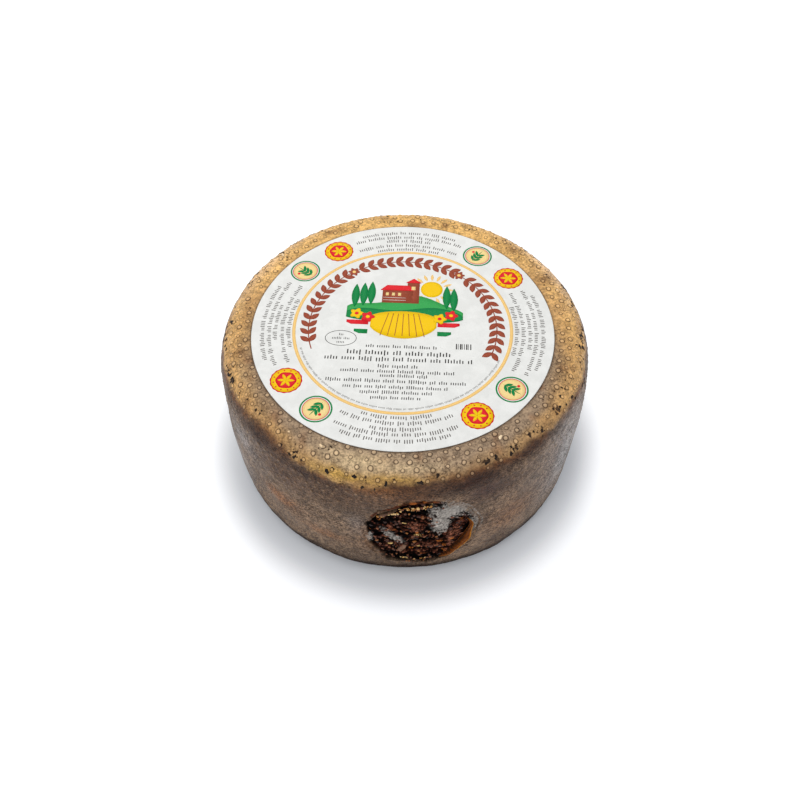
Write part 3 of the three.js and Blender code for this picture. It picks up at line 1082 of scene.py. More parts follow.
@dataclass(frozen=True)
class Scar:
    """The burnt crust in the side: flakes at uneven heights over black gaps, partly under white bloom.

    Attributes:
        skin: the rind round it.
        depth: how far the crust lies under the rind.
        farthest: greatest distance of the crust from the wheel's axis.
        reach: half size of the grid, as a share of the oval's; it goes past the outline and under the rind.
        grid: points across and up, about 0.24 mm apart.
        foot, root: how deep its hidden edge and its hidden middle lie.
        powder: where white bloom lies, and less than 0 where it can't.
        embers: where the flakes are lighter and redder.
        facet: a smooth tan flake.
        island: a raised lens of brown flakes beside the lip.
        slab: where the singed skin is still whole, under the upper left edge.
    """

    skin: RindSkin
    depth: float = 1.35
    farthest: float = 89.0
    reach: float = 1.2
    grid: tuple[int, int] = (250, 276)
    foot: float = -4.2
    root: float = -7.0
    powder: tuple[Patch, ...] = patches(
        (15.0, 17.5, 9.0, 5.4, 1.05, -14.0), (9.8, 6.5, 4.4, 9.0, 1.05, 8.0),
        (21.0, 24.0, 13.0, 6.0, 0.42, -28.0), (27.0, 5.0, 4.2, 9.0, 0.85),
        (-12.8, -2.5, 7.6, 2.3, 0.85, -54.0), (-24.2, -5.5, 2.0, 4.2, 0.8),
        (17.0, -3.0, 4.2, 9.5, -1.2, -8.0),
    )
    embers: tuple[Patch, ...] = patches(
        (-2.0, 7.5, 7.0, 6.5, 1.0), (6.0, -12.0, 9.0, 7.0, 0.8, 20.0), (-15.0, 9.0, 4.0, 5.0, 0.45),
        (-17.0, -13.0, 5.0, 4.0, 0.5), (-1.0, -24.0, 16.0, 4.0, -0.8), (-2.0, 18.5, 9.0, 2.4, -0.7),
    )
    facet: Patch = Patch(-8.4, -14.0, 3.8, 1.8, 1.35, 55.0)
    island: Patch = Patch(15.8, -2.6, 3.0, 8.6, 1.3, -8.0)
    slab: Patch = Patch(-16.5, 18.5, 8.5, 2.6, 1.1, 36.0)

    def build(self, material: Material) -> Object:
        """Makes the crust as a plate that is laid over the side: its top is the relief, its back is plain.

        Args:
            material: its finish.

        Returns:
            The piece.
        """
        plan = self.skin.scar
        across = np.linspace(-1.0, 1.0, self.grid[0]) * plan.width / 2 * self.reach
        along = np.linspace(-1.0, 1.0, self.grid[1]) * plan.height / 2 * self.reach
        right, up = np.meshgrid(across, along, indexing="ij")
        bearing, run = plan.place(right, up)
        crust = self.surface(right, up, bearing, run)
        top = self.skin.form.at(bearing, run, crust.outward)
        foot = self.skin.form.at(bearing, run, self.foot)
        root = self.skin.form.at(*plan.place(0.0, 0.0), self.root)
        shape = bedded(top, foot, root)
        hidden = len(shape.points) - right.size
        values = self.skin.zones(bearing, run) | {"char": crust.char, "paint": crust.paint}
        for name, value in values.items():
            colours = value.shape[2:]
            shape.values[name] = np.concatenate([value.reshape(-1, *colours), np.zeros((hidden, *colours))])
        add_unburnt(shape)
        return to_piece("scar_crust", shape, material)

    def surface(self, right: Array, up: Array, bearing: Array, run: Array) -> Crust:
        """The crust's relief and colour.

        Slabs of 5.6 by 3.4 mm, each at its own height, carry flakes of 2.6 by 1.45 mm. Both fall off into the
        gaps round them, which are darkened, partly as char and partly as painted shade. Near the outline the
        crust gives way to the rind, with an open cleft along the upper edge, painted black as shadow, and a
        raised brown brow over it.

        Args:
            right, up: places on the scar.
            bearing, run: the same places on the wheel.

        Returns:
            The crust at those places.
        """
        share, angle = self.skin.scar.polar(right, up)
        points = np.stack([right, up, np.zeros(right.shape)], -1)
        warp = 1.5 * cloud(points, 4.5, 41), 1.0 * cloud(points, 4.0, 42)
        slabs = flaked(right + warp[0], up + warp[1] + 0.2 * right, (5.6, 3.4), 43)
        flakes = flaked(right + 0.7 * warp[1], up + 0.6 * warp[0] + 0.15 * right, (2.6, 1.45), 46)
        fine = cloud(points, 0.75, 52)
        wobble = 0.04 * cloud(points, 3.2, 49) + 0.022 * cloud(points, 1.1, 50)
        inside = smooth(1.02, 0.975, share + wobble)
        island = smooth(0.42, 0.5, self.island.value(right, up) + wobble)
        facet = smooth(0.6, 0.7, self.facet.value(right, up) + 7.0 * wobble) * inside
        slab = smooth(0.35, 0.6, self.slab.value(right, up) + 2.5 * wobble) * inside

        gaps = np.minimum(smooth(0.0, 0.16, slabs.crack), smooth(0.0, 0.2, flakes.crack))
        height = 1.25 * smooth(0.0, 0.3, slabs.crack) * (slabs.pick - 0.35)
        height = height + 0.75 * smooth(0.0, 0.4, flakes.crack) * (flakes.pick - 0.2)
        height = height + 0.6 * cloud(points, 8.0, 51) + 0.12 * fine + 0.75 * island
        powder = self.powdered(right, up, points)
        height = blend(height, 0.4 * height + 0.6, powder)
        height = blend(height, 0.9 + 0.03 * fine, facet)
        height = blend(height, 0.85 + 0.05 * fine, slab)

        angle = np.degrees(angle)
        upper = smooth(60.0, 74.0, angle) * smooth(160.0, 148.0, angle)
        cleft = upper * bell(share - 0.35 * wobble, 0.93, 0.024, 4)
        brow = upper * bell(share - 0.35 * wobble, 0.99, 0.036, 4)
        shore = smooth(0.9, 0.97, share)
        floor = blend(height, 0.25 * height - 0.5, 0.6 * shore) - self.depth - 2.4 * cleft
        floor = floor - 0.7 * smooth(0.95, 0.55, share)
        rind = self.skin.outward(bearing, run) + 0.07 - 0.5 * smooth(1.13, 1.19, share)
        outward = blend(rind, floor, inside * (1.0 - brow)) + brow * (0.15 + 0.2 * cloud(points, 1.3, 55))
        outward = np.where(share < 1.1, np.minimum(outward, self.room(run)), outward)

        paint = self.coloured(right, up, slabs, flakes, fine)
        grit = cloud(points, 0.45, 59)
        speckle = np.clip(1.0 + 0.9 * fine + 0.7 * grit, 0.2, 2.2)
        # Gaps between flakes darken, partly as char and partly as painted shade; the crust is darker along the
        # inside of the outline.
        paint = paint * (gaps * speckle * (1.0 - 0.75 * shore * inside))[..., None]
        paint = painted(paint, Burn.FACET.rgb * (0.9 + 0.15 * fine)[..., None], facet)
        hot = smooth(116.0, 96.0, angle) * smooth(70.0, 86.0, angle)
        singed = painted(Burn.PLUM.rgb, Burn.EMBER.rgb, 0.5 * hot * (flakes.pick > 0.6) + 0.08)
        paint = painted(paint, singed * (0.35 + 1.1 * flakes.pick * gaps)[..., None], brow)
        whole = 0.75 + 0.3 * fine + 0.25 * cloud(points, 2.2, 56)
        paint = painted(paint, Burn.SLAB.rgb * whole[..., None], slab)
        paint = painted(paint, Burn.BLOOM.rgb * (0.8 + 0.3 * fine + 0.35 * grit)[..., None], powder)
        # Painted shadow: the cleft under the brow is painted near black.
        paint = painted(Burn.GAP.rgb, paint, 1.0 - cleft)
        singe = 0.45 * smooth(1.06, 1.0, share + wobble) * (1.0 - inside) * (1.0 - brow)
        char = np.clip(np.maximum(inside, np.maximum(brow, 0.6 * powder)) + singe * (1.0 - powder), 0.0, 1.0)
        return Crust(outward, char, paint)

    def room(self, run: Array) -> Array:
        """How far a thing may stand out at each run and still be within the farthest part of the recess."""
        return self.farthest - self.skin.form.radius_at(run)

    def powdered(self, right: Array, up: Array, points: Array) -> Array:
        """How much white bloom lies at each place: grainy patches, broken up at 2.8, 0.9 and 0.5 mm.

        Args:
            right, up: places on the scar.
            points: the same places as points of the plane, with a third coordinate of 0.

        Returns:
            One number for each.
        """
        laid = sum(patch.value(right, up) for patch in self.powder)
        laid = laid * (1.0 + 0.2 * cloud(points, 2.8, 53))
        grain = 0.32 * cloud(points, 0.9, 54) + 0.42 * cloud(points, 0.5, 58)
        laid = laid + grain * smooth(0.05, 0.3, laid)
        return 0.88 * smooth(0.12, 0.85, laid)

    def coloured(self, right: Array, up: Array, slabs: Flakes, flakes: Flakes, fine: Array) -> Array:
        """Linear colour of the crust's flakes: mostly coal, plum and russet, with a few gold ones.

        Args:
            right, up: places on the scar.
            slabs, flakes: the patterns of large and small flakes.
            fine: noise from -1 to 1.

        Returns:
            Red, green and blue along a new last axis.
        """
        warmth = sum(patch.value(right, up) for patch in self.embers) + self.island.value(right, up)
        level = 0.3 * slabs.pick + 0.46 * flakes.pick + 0.34 * np.clip(warmth, -1.0, 1.0) + 0.1 * fine
        paint = graded(level, (0.27, 0.45, 0.64, 0.92), (Burn.GAP, Burn.COAL, Burn.PLUM, Burn.RUSSET))
        ember = 0.8 * (flakes.pick > 0.965) * smooth(0.0, 0.4, warmth + 0.3 * fine)
        return painted(painted(paint, Burn.EMBER.rgb, ember), Burn.CREAM.rgb, 0.8 * (flakes.pick < 0.012))


@dataclass(frozen=True)
class ScarLip:
    """The crescent of loosened rind that stands up along the scar's lower right edge.

    Attributes:
        skin: the rind that it comes off.
        start, end: angles round the scar, in degrees.
        width, height: size of its section in the middle of its length.
        sunk: how deep its foot reaches into the rind.
        fibres: its length as the fibres of its finish count it, in widths.
        steps, across: points along it and round its section.
    """

    skin: RindSkin
    start: float = -67.0
    end: float = 23.0
    width: float = 6.0
    height: float = 1.3
    sunk: float = 1.6
    fibres: float = 8.0
    steps: int = 120
    across: int = 24

    def build(self, material: Material) -> Object:
        """Makes the lip: a section like a low breaking wave is carried along the outline, thin at both ends.

        Over x from -1, inside the scar, to 1, the section's top is a steep crest at x = -0.45 with a long
        back, and it closes through a foot under the rind. Fine ridges run across it, as the rind is torn.

        Args:
            material: its finish.

        Returns:
            The piece.
        """
        plan = self.skin.scar
        t = np.linspace(0.0, 1.0, self.steps)[:, None]
        angle = np.radians(self.start + (self.end - self.start) * t)
        swell = np.sin(math.pi * t**0.66) ** 1.2 * (0.95 + 0.08 * np.sin(5.0 * math.pi * t)) + 0.03
        turn = round_turn(self.across)
        t, x = np.broadcast_arrays(t, -np.cos(turn))
        over = np.sin(turn) > -1e-9
        crest = 0.3 * np.sqrt(np.clip(1.0 - x**2, 0.0, 1.0)) + 0.75 * bell(x, -0.45, 0.38)
        notes = np.stack([40.0 * t, x, np.zeros(x.shape)], -1)
        torn = 1.0 + 0.16 * cloud(notes, (1.0, 1.2, 1.0), 61) + 0.1 * cloud(notes * 2.3, 1.0, 62)
        foot = -self.sunk * np.abs(np.sin(turn)) ** 0.5
        height = swell * np.where(over, self.height * crest * torn, foot)
        frayed = 1.0 + 0.08 * cloud(notes, (1.4, 3.0, 1.0), 63)
        share = 0.92 + self.width / 2 * swell * frayed * x / (plan.width / 2)
        right, up = plan.on_outline(angle, share)
        rings = self.skin.over(*plan.place(right, up), height)
        shape = ringed(rings[None], rings[None, 0].mean(1), rings[None, -1].mean(1))
        # Painted light in part: the crest's inner side is made dark as shade, the outer edge gold as a
        # highlight.
        edge = np.where(over, 0.4 * smooth(-0.9, -0.4, x) + 0.6 * smooth(0.45, 0.95, x), 0.6)
        end = np.array([0.5])
        shape.values["edge"] = with_poles(edge[None], end, end)
        along = self.width * self.fibres * t[None]
        shape.values["along"] = with_poles(along, along[:, 0, 0], along[:, -1, -1])
        return to_piece("scar_lip", shape, material)


class CrumbKind(Enum):
    """The kinds of crumb that lie on the burnt crust."""

    GOLDEN = "golden_crumbs"
    BURNT = "burnt_crumbs"


@dataclass(frozen=True)
class Crumbs:
    """Loose crumbs on the crust: small uneven lumps of a few dozen faces each.

    Attributes:
        skin: the rind and scar.
        kind: golden ones lie along the upper edge, burnt ones all over and along the lower edge.
        rings, columns: points of a lump.
    """

    skin: RindSkin
    kind: CrumbKind
    rings: int = 3
    columns: int = 7

    def spots(self, scar: Scar) -> Spots:
        """Places of the crumbs, drawn by a seeded generator.

        Args:
            scar: the crust, whose bloom hides burnt crumbs.

        Returns:
            Right, up and radius of each crumb.
        """
        if self.kind is CrumbKind.GOLDEN:
            draw = np.random.default_rng(7)
            ends = np.array([[-9.4, 21.0, 4.2, 22.0], [-19.6, 14.2, -9.0, 18.4], [-20.0, -22.0, 14.0, -26.0]])
            row = np.repeat([0, 1, 2], (28, 16, 16))
            t = draw.uniform(0.0, 1.0, len(row))
            right, up = (blend(ends[row, i], ends[row, i + 2], t) for i in (0, 1))
            right, up = right + draw.normal(0.0, 0.4, len(row)), up + draw.normal(0.0, 0.7, len(row))
            keep = self.skin.scar.polar(right, up)[0] < 0.97
            size = draw.uniform(0.3, 0.72, len(row)) ** np.where(row == 2, 1.5, 1.0)
            return right[keep], up[keep], size[keep]
        draw = np.random.default_rng(11)
        inner, edge = 260, 44
        angle = np.concatenate([draw.uniform(-math.pi, math.pi, inner), draw.normal(-1.6, 0.42, edge)])
        share = np.concatenate([np.sqrt(draw.uniform(0.0, 0.86, inner)), draw.normal(0.985, 0.02, edge)])
        size = np.concatenate([draw.uniform(0.25, 0.8, inner), draw.uniform(0.2, 0.5, edge)])
        right, up = self.skin.scar.on_outline(angle, share)
        bare = scar.powdered(right, up, np.stack([right, up, np.zeros(right.shape)], -1)) < 0.3
        return right[bare], up[bare], size[bare]

    def build(self, material: Material, scar: Scar) -> Object:
        """Makes the crumbs: globes of a few rings whose points are pushed in and out, laid on the crust.

        Args:
            material: their finish.
            scar: the crust.

        Returns:
            The piece.
        """
        draw = np.random.default_rng(23 if self.kind is CrumbKind.GOLDEN else 29)
        right, up, size = self.spots(scar)
        count = len(right)
        bearing, run = self.skin.scar.place(right, up)
        ground = scar.surface(right, up, bearing, run).outward
        north = np.linspace(0.0, math.pi, self.rings + 2)[1:-1][None, :, None]
        east = round_turn(self.columns)
        push = size[:, None, None] * draw.uniform(0.7, 1.25, (count, self.rings, self.columns))
        stretch = draw.uniform(0.9, 1.9, (count, 1, 1))
        lean = draw.normal(0.0, 0.5, (count, 1, 1))
        flat_x = push * np.sin(north) * np.cos(east) * stretch
        flat_y = push * np.sin(north) * np.sin(east)
        rise = 0.65 * push * np.cos(north) + 0.2 * size[:, None, None]
        across = flat_x * np.cos(lean) - flat_y * np.sin(lean)
        along = flat_x * np.sin(lean) + flat_y * np.cos(lean)
        room = scar.room(run)
        places = self.skin.scar.place(right[:, None, None] + across, up[:, None, None] + along)
        outward = np.minimum(ground[:, None, None] + rise, room[:, None, None])
        tops = self.skin.form.at(bearing, run, np.minimum(ground + 0.8 * size, room))
        roots = self.skin.form.at(bearing, run, ground - 0.6 * size)
        shape = ringed(self.skin.form.at(*places, outward), tops, roots)
        shape.values["tone"] = np.repeat(draw.uniform(0.0, 1.0, count), self.rings * self.columns + 2)
        return to_piece(self.kind.value, shape, material)

# ------------------------ the paper label
@dataclass(frozen=True)
class PaperLabel(Seat):
    """The round paper label, stuck on by hand.

    Attributes:
        bottom: height of the CAD label's underside.
        thickness: of the paper.
        turn: how far it is turned, counterclockwise in radians.
        clear: how far its underside is above the CAD label's.
        columns: points round its edge.
    """

    bottom: float
    thickness: float
    turn: float = math.radians(-3.5)
    clear: float = 0.02
    columns: int = 240

    def height_at(self, points: Array) -> Array:
        """Height of the paper's face: level, with broad swells and finer ones that are weaker at the edge.

        Args:
            points: places in the label's own axes, with x and y along the last axis.

        Returns:
            Heights over the foot.
        """
        flat = np.concatenate([points, np.zeros(points.shape[:-1] + (1,))], -1)
        swell = 0.05 * cloud(flat, 22.0, 71) + 0.02 * cloud(flat, 6.0, 72) + 0.02 * cloud(flat, 2.6, 73)
        edge = smooth(self.radius - 6.0, self.radius, np.hypot(points[..., 0], points[..., 1]))
        return self.bottom + self.thickness + swell * (1.0 - 0.6 * edge)

    def on_face(self, points: Array, lift: float = 0.0) -> Array:
        """Turns places in the label's own axes into places on the paper's face, or a little above it.

        Args:
            points: the places, with x and y along the last axis.
            lift: how far above it.

        Returns:
            Points of the wheel's frame.
        """
        c, s = math.cos(self.turn), math.sin(self.turn)
        spun = points @ np.array([[c, s], [-s, c]]) + np.array(self.centre)
        return np.concatenate([spun, (self.height_at(points) + lift)[..., None]], -1)

    def build(self, material: Material) -> Object:
        """Makes the paper: rings of points out to a softly rounded edge, and a plain underside.

        Args:
            material: its finish.

        Returns:
            The piece.
        """
        radii = np.concatenate([np.linspace(3.0, self.radius - 0.5, 46), [self.radius - 0.12, self.radius]])
        face = self.on_face(spoke(round_turn(self.columns), radii[:, None]))
        face[-1, :, 2] -= 0.1
        under = face[-1:].copy()
        under[..., 2] = self.bottom + self.clear
        first = self.on_face(np.zeros((1, 2)))
        last = np.array([[*first[0, :2], self.bottom + self.clear]])
        shape = ringed(np.concatenate([face, under])[None], first, last)
        return to_piece("label_paper", shape, material, replaces="paper_label")


class Ink(Colour):
    """The inks of the label's print."""

    AMBER = "#f7cd80"
    BRICK = "#9c4a33"
    RED = "#e0202c"
    YELLOW = "#f5c800"
    GREEN = "#068544"
    LEAF = "#35a552"
    CREAM = "#f4d894"
    CHARCOAL = "#2f2c2a"
    GREY = "#67625e"
    WHITE = "#e6e6e2"


@dataclass
class LabelPrint:
    """The label's print: a generic country scene, rosettes, a garland and rows of fine strokes.

    Every ink is a thin closed film. Its level is 1 on the paper and more on top of other films. Places are in
    the label's own axes.

    Attributes:
        label: the paper.
        films: the shapes laid down so far in each ink.
        step: thickness of one film.
        sunk: height of the films' undersides over the paper.
    """

    label: PaperLabel
    films: dict[Ink, list[Shape]] = field(default_factory=dict)
    step: float = 0.02
    sunk: float = -0.04

    def add(self, ink: Ink, shape: Shape) -> None:
        """Keeps a film of an ink."""
        self.films.setdefault(ink, []).append(facing_out(shape))

    def faces(self, points: Array, level: int) -> Pair:
        """Places on a film's face and on its underside."""
        return self.label.on_face(points, level * self.step), self.label.on_face(points, self.sunk)

    def lay(self, ink: Ink, points: Array, level: int = 1) -> None:
        """Lays down plates of ink from grids of shape (copies, n, m, 2)."""
        self.add(ink, plated(*self.faces(points, level)))

    def disc(
        self, ink: Ink, middle: Array, radius: float, level: int = 1, lobes: int = 0, depth: float = 0.0
    ) -> None:
        """Lays down a disc, whose edge may have lobes: its radius is r (1 + depth cos(lobes a)).

        Args:
            ink: which one.
            middle: its middle.
            radius: of the plain disc.
            level: of the film.
            lobes: how many.
            depth: of the lobes, as a share of the radius.
        """
        turn = round_turn(max(36, lobes * 6))
        outline = spoke(turn, radius * (1.0 + depth * np.cos(lobes * turn)))
        home = np.array([middle])
        over, under = self.faces(np.array([0.35, 0.7, 1.0])[:, None, None] * outline + home, level)
        self.add(ink, ringed(np.concatenate([over, under[-1:]])[None], *self.faces(home, level)))

    def hoop(self, ink: Ink, middle: Array, sizes: tuple[float, float], width: float, level: int = 1) -> None:
        """Lays down a closed band along an oval.

        Args:
            ink: which one.
            middle: the oval's middle.
            sizes: its half sizes, to the middle of the band.
            width: of the band.
            level: of the film.
        """
        outline = spoke(round_turn(int(40 + 2.0 * max(sizes))))
        edges = [outline * (np.array(sizes) + half) + np.array(middle) for half in (-width / 2, width / 2)]
        over, under = self.faces(np.stack(edges), level)
        self.add(ink, hooped(np.concatenate([over, under[::-1]])))

    def leaves(
        self, ink: Ink, roots: Array, headings: Array, length: float, width: float, level: int = 1
    ) -> None:
        """Lays down leaves: the half width along one is width/2 times sin(pi t)^0.8, widest in the middle.

        Args:
            ink: which one.
            roots: where they start, of shape (copies, 2) or (1, 2).
            headings: their directions, in radians, of shape (copies,) or (1,).
            length, width: of each.
            level: of the film.
        """
        t = np.linspace(0.0, 1.0, 7)[:, None]
        y = width / 2 * np.maximum(np.sin(math.pi * t) ** 0.8, 0.06) * np.linspace(-1.0, 1.0, 3)
        c, s = np.cos(headings)[:, None, None], np.sin(headings)[:, None, None]
        points = np.stack([length * t * c - y * s, length * t * s + y * c], -1)
        self.lay(ink, points + roots[:, None, None, :], level)

    def between(
        self, ink: Ink, x: Array, low: Array | float, high: Array | float, level: int = 1
    ) -> None:
        """Lays down the area between two curves over the same x, in four strips.

        Args:
            ink: which one.
            x: places along the curves.
            low, high: the curves there, or level lines.
            level: of the film.
        """
        x, low, high = (line[:, None] for line in np.broadcast_arrays(x, low, high))
        y = blend(low, high, np.linspace(0.0, 1.0, 5))
        self.lay(ink, np.stack(np.broadcast_arrays(x, y), -1)[None], level)

    def block(self, ink: Ink, left: float, right: float, low: float, high: float, level: int = 1) -> None:
        """Lays down an upright rectangle."""
        self.between(ink, np.array([left, right]), low, high, level)

    def strokes(self, length: float, height: float, seed: int) -> Array:
        """Fine upright strokes in groups along a line, which stand where small print would be.

        Args:
            length: of the line.
            height: of the tallest stroke.
            seed: another seed gives other groups.

        Returns:
            Rectangles of shape (copies, 2, 2, 2), along the line and up from its middle.
        """
        draw = np.random.default_rng(seed)
        pitch, thick = 0.55 * height, 0.22 * height
        count = int(length / pitch)
        kept = np.ones(count, bool)
        gaps = np.cumsum(draw.integers(4, 10, count))
        kept[gaps[gaps < count - 2]] = False
        middle = (np.arange(count) + 0.5) * pitch - count * pitch / 2
        low = np.where(draw.random(count) < 0.12, -0.72, -0.5) * height
        high = np.where(draw.random(count) < 0.35, 0.5, 0.22) * height
        along = middle[:, None] + np.array([-0.5, 0.5]) * thick
        corners = np.broadcast_arrays(along[:, :, None], np.stack([low, high], -1)[:, None, :])
        return np.stack(corners, -1)[kept]

    def straight_line(self, middle: tuple[float, float], length: float, height: float, seed: int) -> None:
        """Lays down a level row of fine strokes."""
        self.lay(Ink.CHARCOAL, self.strokes(length, height, seed) + np.array(middle))

    def curved_line(self, radius: float, middle: float, length: float, height: float, seed: int) -> None:
        """Lays down fine strokes along a circle, centred at an angle in degrees, with their feet inwards."""
        bars = self.strokes(length, height, seed)
        self.lay(Ink.GREY, spoke(math.radians(middle) - bars[..., 0] / radius, radius + bars[..., 1]))

    def garland(self) -> None:
        """A garland of leaf pairs on a stem round the upper part, with a small flower in two gaps."""
        radius = 0.624 * self.label.radius
        stem = np.radians(np.linspace(-21.0, 201.0, 111))
        self.lay(Ink.BRICK, spoke(stem, radius + np.array([[-0.275], [0.275]]))[None])
        flowers = np.array([54.0, 126.0])
        angles = np.arange(-18.5, 200.0, 6.1)
        angles = np.radians(angles[np.min(np.abs(angles[:, None] - flowers), 1) > 3.2])
        for lean in np.radians((-42.0, 42.0)):
            self.leaves(Ink.BRICK, spoke(angles, radius), angles - math.pi / 2 + lean, 5.6, 2.9)
        for spot in spoke(np.radians(flowers), radius):
            self.disc(Ink.BRICK, spot, 2.5, 2, 6, 0.22)
            self.disc(Ink.AMBER, spot, 0.9, 3)

    def rosette(self, angle: float) -> None:
        """A yellow disc with a ring of red dots and a red middle that holds a six-petalled flower.

        Args:
            angle: its direction from the label's middle, in degrees.
        """
        spot = spoke(math.radians(angle), 0.865 * self.label.radius)
        self.disc(Ink.RED, spot, 7.3, 1, 16, 0.018)
        self.disc(Ink.YELLOW, spot, 6.75, 2)
        self.disc(Ink.RED, spot, 4.7, 3, 6, 0.035)
        self.leaves(Ink.YELLOW, spot[None], round_turn(6), 3.9, 1.5, 4)
        for bead in spot + spoke(round_turn(12) + 0.26, 5.7):
            self.disc(Ink.RED, bead, 0.38, 3)

    def sprig(self, angle: float) -> None:
        """A cream disc in a green hoop with a leafy twig and a red berry.

        Args:
            angle: its direction from the label's middle, in degrees.
        """
        away = math.radians(angle)
        spot = spoke(away, 0.866 * self.label.radius)
        self.hoop(Ink.GREEN, spot, (7.0, 7.0), 0.75)
        self.disc(Ink.CREAM, spot, 6.0)
        self.hoop(Ink.RED, spot, (6.05, 6.05), 0.3, 2)
        stations = spot + spoke(away, np.array([-4.0, -2.0, 0.0]))
        for lean in (-0.75, 0.75):
            self.leaves(Ink.GREEN, stations, np.array([away + lean]), 3.9, 1.5, 2)
        self.leaves(Ink.GREEN, spot[None] + spoke(away, -4.6), np.array([away]), 9.2, 0.55, 3)
        self.disc(Ink.RED, spot + spoke(away + 1.2, 3.6), 0.7, 3)

    def country_scene(self) -> None:
        """Hills with a farmhouse and cypresses under a rayed sun, over a wheat field edged with flowers."""
        x = np.linspace(-27.5, 28.5, 60)
        edge = np.clip(1.0 - (x / 29.0) ** 2, 0.0, 1.0) ** 0.5
        far = 9.0 + edge * (9.5 + 2.6 * np.sin(x / 6.5 + 0.6))
        near = 6.5 + edge * (6.0 + 2.0 * np.sin(x / 8.0 - 1.0))
        foot = 6.5 - 4.0 * edge
        sun = (13.0, 25.5)
        rays = round_turn(16)
        self.leaves(Ink.AMBER, np.array(sun) + spoke(rays, 6.2), rays, 4.4, 1.5)
        self.disc(Ink.YELLOW, sun, 5.4, 2)
        self.between(Ink.LEAF, x, foot, far, 3)
        self.between(Ink.GREEN, x, foot, near, 5)
        self.farmhouse()
        cypress = np.array([[-24.0, 12.0], [-20.0, 13.0], [-16.3, 14.0], [20.5, 12.5], [24.0, 11.0]])
        self.leaves(Ink.GREEN, cypress, np.array([math.pi / 2]), 15.5, 4.0, 6)
        field_x = np.linspace(-15.5, 16.0, 30)
        hump = np.clip(1.0 - (field_x / 17.0) ** 2, 0.0, 1.0) ** 0.5
        self.between(Ink.YELLOW, field_x, 4.0 - 11.5 * hump, 4.0 + 6.0 * hump, 7)
        row_y = np.linspace(-6.0, 8.4, 12)
        for fan in np.linspace(-0.8, 0.8, 7):
            row_x = fan * (9.0 + 0.28 * (8.4 - row_y)) + np.array([[-0.16], [0.16]])
            self.lay(Ink.BRICK, np.stack(np.broadcast_arrays(row_x, row_y), -1)[None], 8)
        for side in (-1.0, 1.0):
            self.banner(side)
        self.flowers()

    def farmhouse(self) -> None:
        """A brick-coloured house with a tower, tiled roofs and pale windows."""
        self.block(Ink.BRICK, -11.0, 4.0, 15.5, 24.0, 4)
        self.block(Ink.BRICK, 1.0, 7.0, 15.5, 29.5, 4)
        self.between(Ink.RED, np.array([-12.0, -9.0, 2.0, 4.6]), 24.0, np.array([24.3, 27.6, 27.6, 24.3]), 5)
        self.between(Ink.RED, np.array([0.3, 4.0, 7.7]), 29.5, np.array([29.8, 32.6, 29.8]), 5)
        for left in (-9.4, -6.4, -3.4):
            self.block(Ink.CREAM, left, left + 1.5, 20.4, 22.4, 5)
        self.block(Ink.CREAM, 3.0, 5.0, 24.6, 27.0, 5)
        for line in (17.2, 18.9):
            self.block(Ink.WHITE, -10.6, 0.6, line, line + 0.22, 5)

    def banner(self, side: float) -> None:
        """A pair of short pennants at one side of the field, red over green.

        Args:
            side: -1 on the left, 1 on the right.
        """
        for ink, low, reach in ((Ink.RED, 0.6, 27.0), (Ink.GREEN, -5.2, 23.0)):
            base = low + np.array([0.0, 0.0, 1.2])
            x = side * np.array([16.5, reach - 2.4, reach])
            self.between(ink, x, base, base + np.array([2.8, 2.8, 1.6]), 2)

    def flowers(self) -> None:
        """Poppies and daisies along both sides of the field."""
        yellow, red = (Ink.YELLOW, Ink.RED), (Ink.RED, Ink.YELLOW)
        spots = (((-22.5, 7.6), yellow), ((-17.0, 5.6), red), ((17.4, 5.8), yellow), ((22.8, 8.2), red))
        for spot, (petals, heart) in spots:
            self.disc(petals, spot, 2.9, 8, 5, 0.2)
            self.disc(heart, spot, 0.95, 9)

    def small_print(self) -> None:
        """Rows of fine strokes: five curved ones at each side, level ones below the scene, and a long one."""
        outer = ((0.93, 50.0), (0.885, 57.0), (0.845, 24.0), (0.8, 52.0), (0.757, 32.0))
        for side in range(4):
            for row, (share, length) in enumerate(outer):
                seed = 100 + 10 * side + row
                self.curved_line(share * self.label.radius, 90.0 * side + 90.0, length, 2.0, seed)
        level = (
            (0.0, -12.6, 34.0, 1.9), (-1.0, -16.6, 50.0, 2.6), (-1.0, -20.4, 69.0, 2.4),
            (-1.0, -24.6, 19.0, 2.0), (-1.0, -27.7, 53.0, 1.9), (2.0, -30.2, 22.0, 1.8),
            (-1.5, -33.4, 64.0, 1.9), (-1.5, -36.8, 48.0, 1.8), (-1.0, -39.8, 33.0, 1.8),
            (-1.0, -42.8, 23.0, 1.8),
        )
        for row, (x, y, length, height) in enumerate(level):
            self.straight_line((x, y), length, height, 200 + row)
        self.curved_line(0.688 * self.label.radius, 268.0, 120.0, 0.95, 300)

    def stamps(self) -> None:
        """A small oval frame with three short rows of strokes, and a small block of bars."""
        self.hoop(Ink.CHARCOAL, (-28.6, -8.6), (7.3, 4.7), 0.28)
        for row, (y, length) in enumerate(((-6.2, 2.6), (-8.6, 8.5), (-11.0, 4.0))):
            self.straight_line((-28.6, y), length, 1.4, 320 + row)
        for i, width in enumerate((0.5, 0.25, 0.7, 0.3, 0.3, 0.6, 0.25, 0.5)):
            left = 25.4 + 0.95 * i
            self.block(Ink.CHARCOAL, left, left + width, -13.0, -9.6)

    def build(self, finishes: dict[Ink, Material]) -> None:
        """Lays down the whole print and makes one piece of each ink.

        Args:
            finishes: a material for each ink.
        """
        self.hoop(Ink.AMBER, (0.0, 0.0), (0.72 * self.label.radius,) * 2, 1.55)
        self.garland()
        self.country_scene()
        for quarter in (0.0, 90.0, 180.0, 270.0):
            self.rosette(quarter + 34.9)
            self.sprig(quarter + 55.1)
        self.small_print()
        self.stamps()
        for ink, films in self.films.items():
            to_piece(f"print_{ink.name.lower()}", joined(films), finishes[ink])


# ------------------------ finishes
Link = Node | NodeSocket
MIX_A, MIX_B, MIX_OUT = 6, 7, 2  # the colour sockets of a Mix node that mixes colours


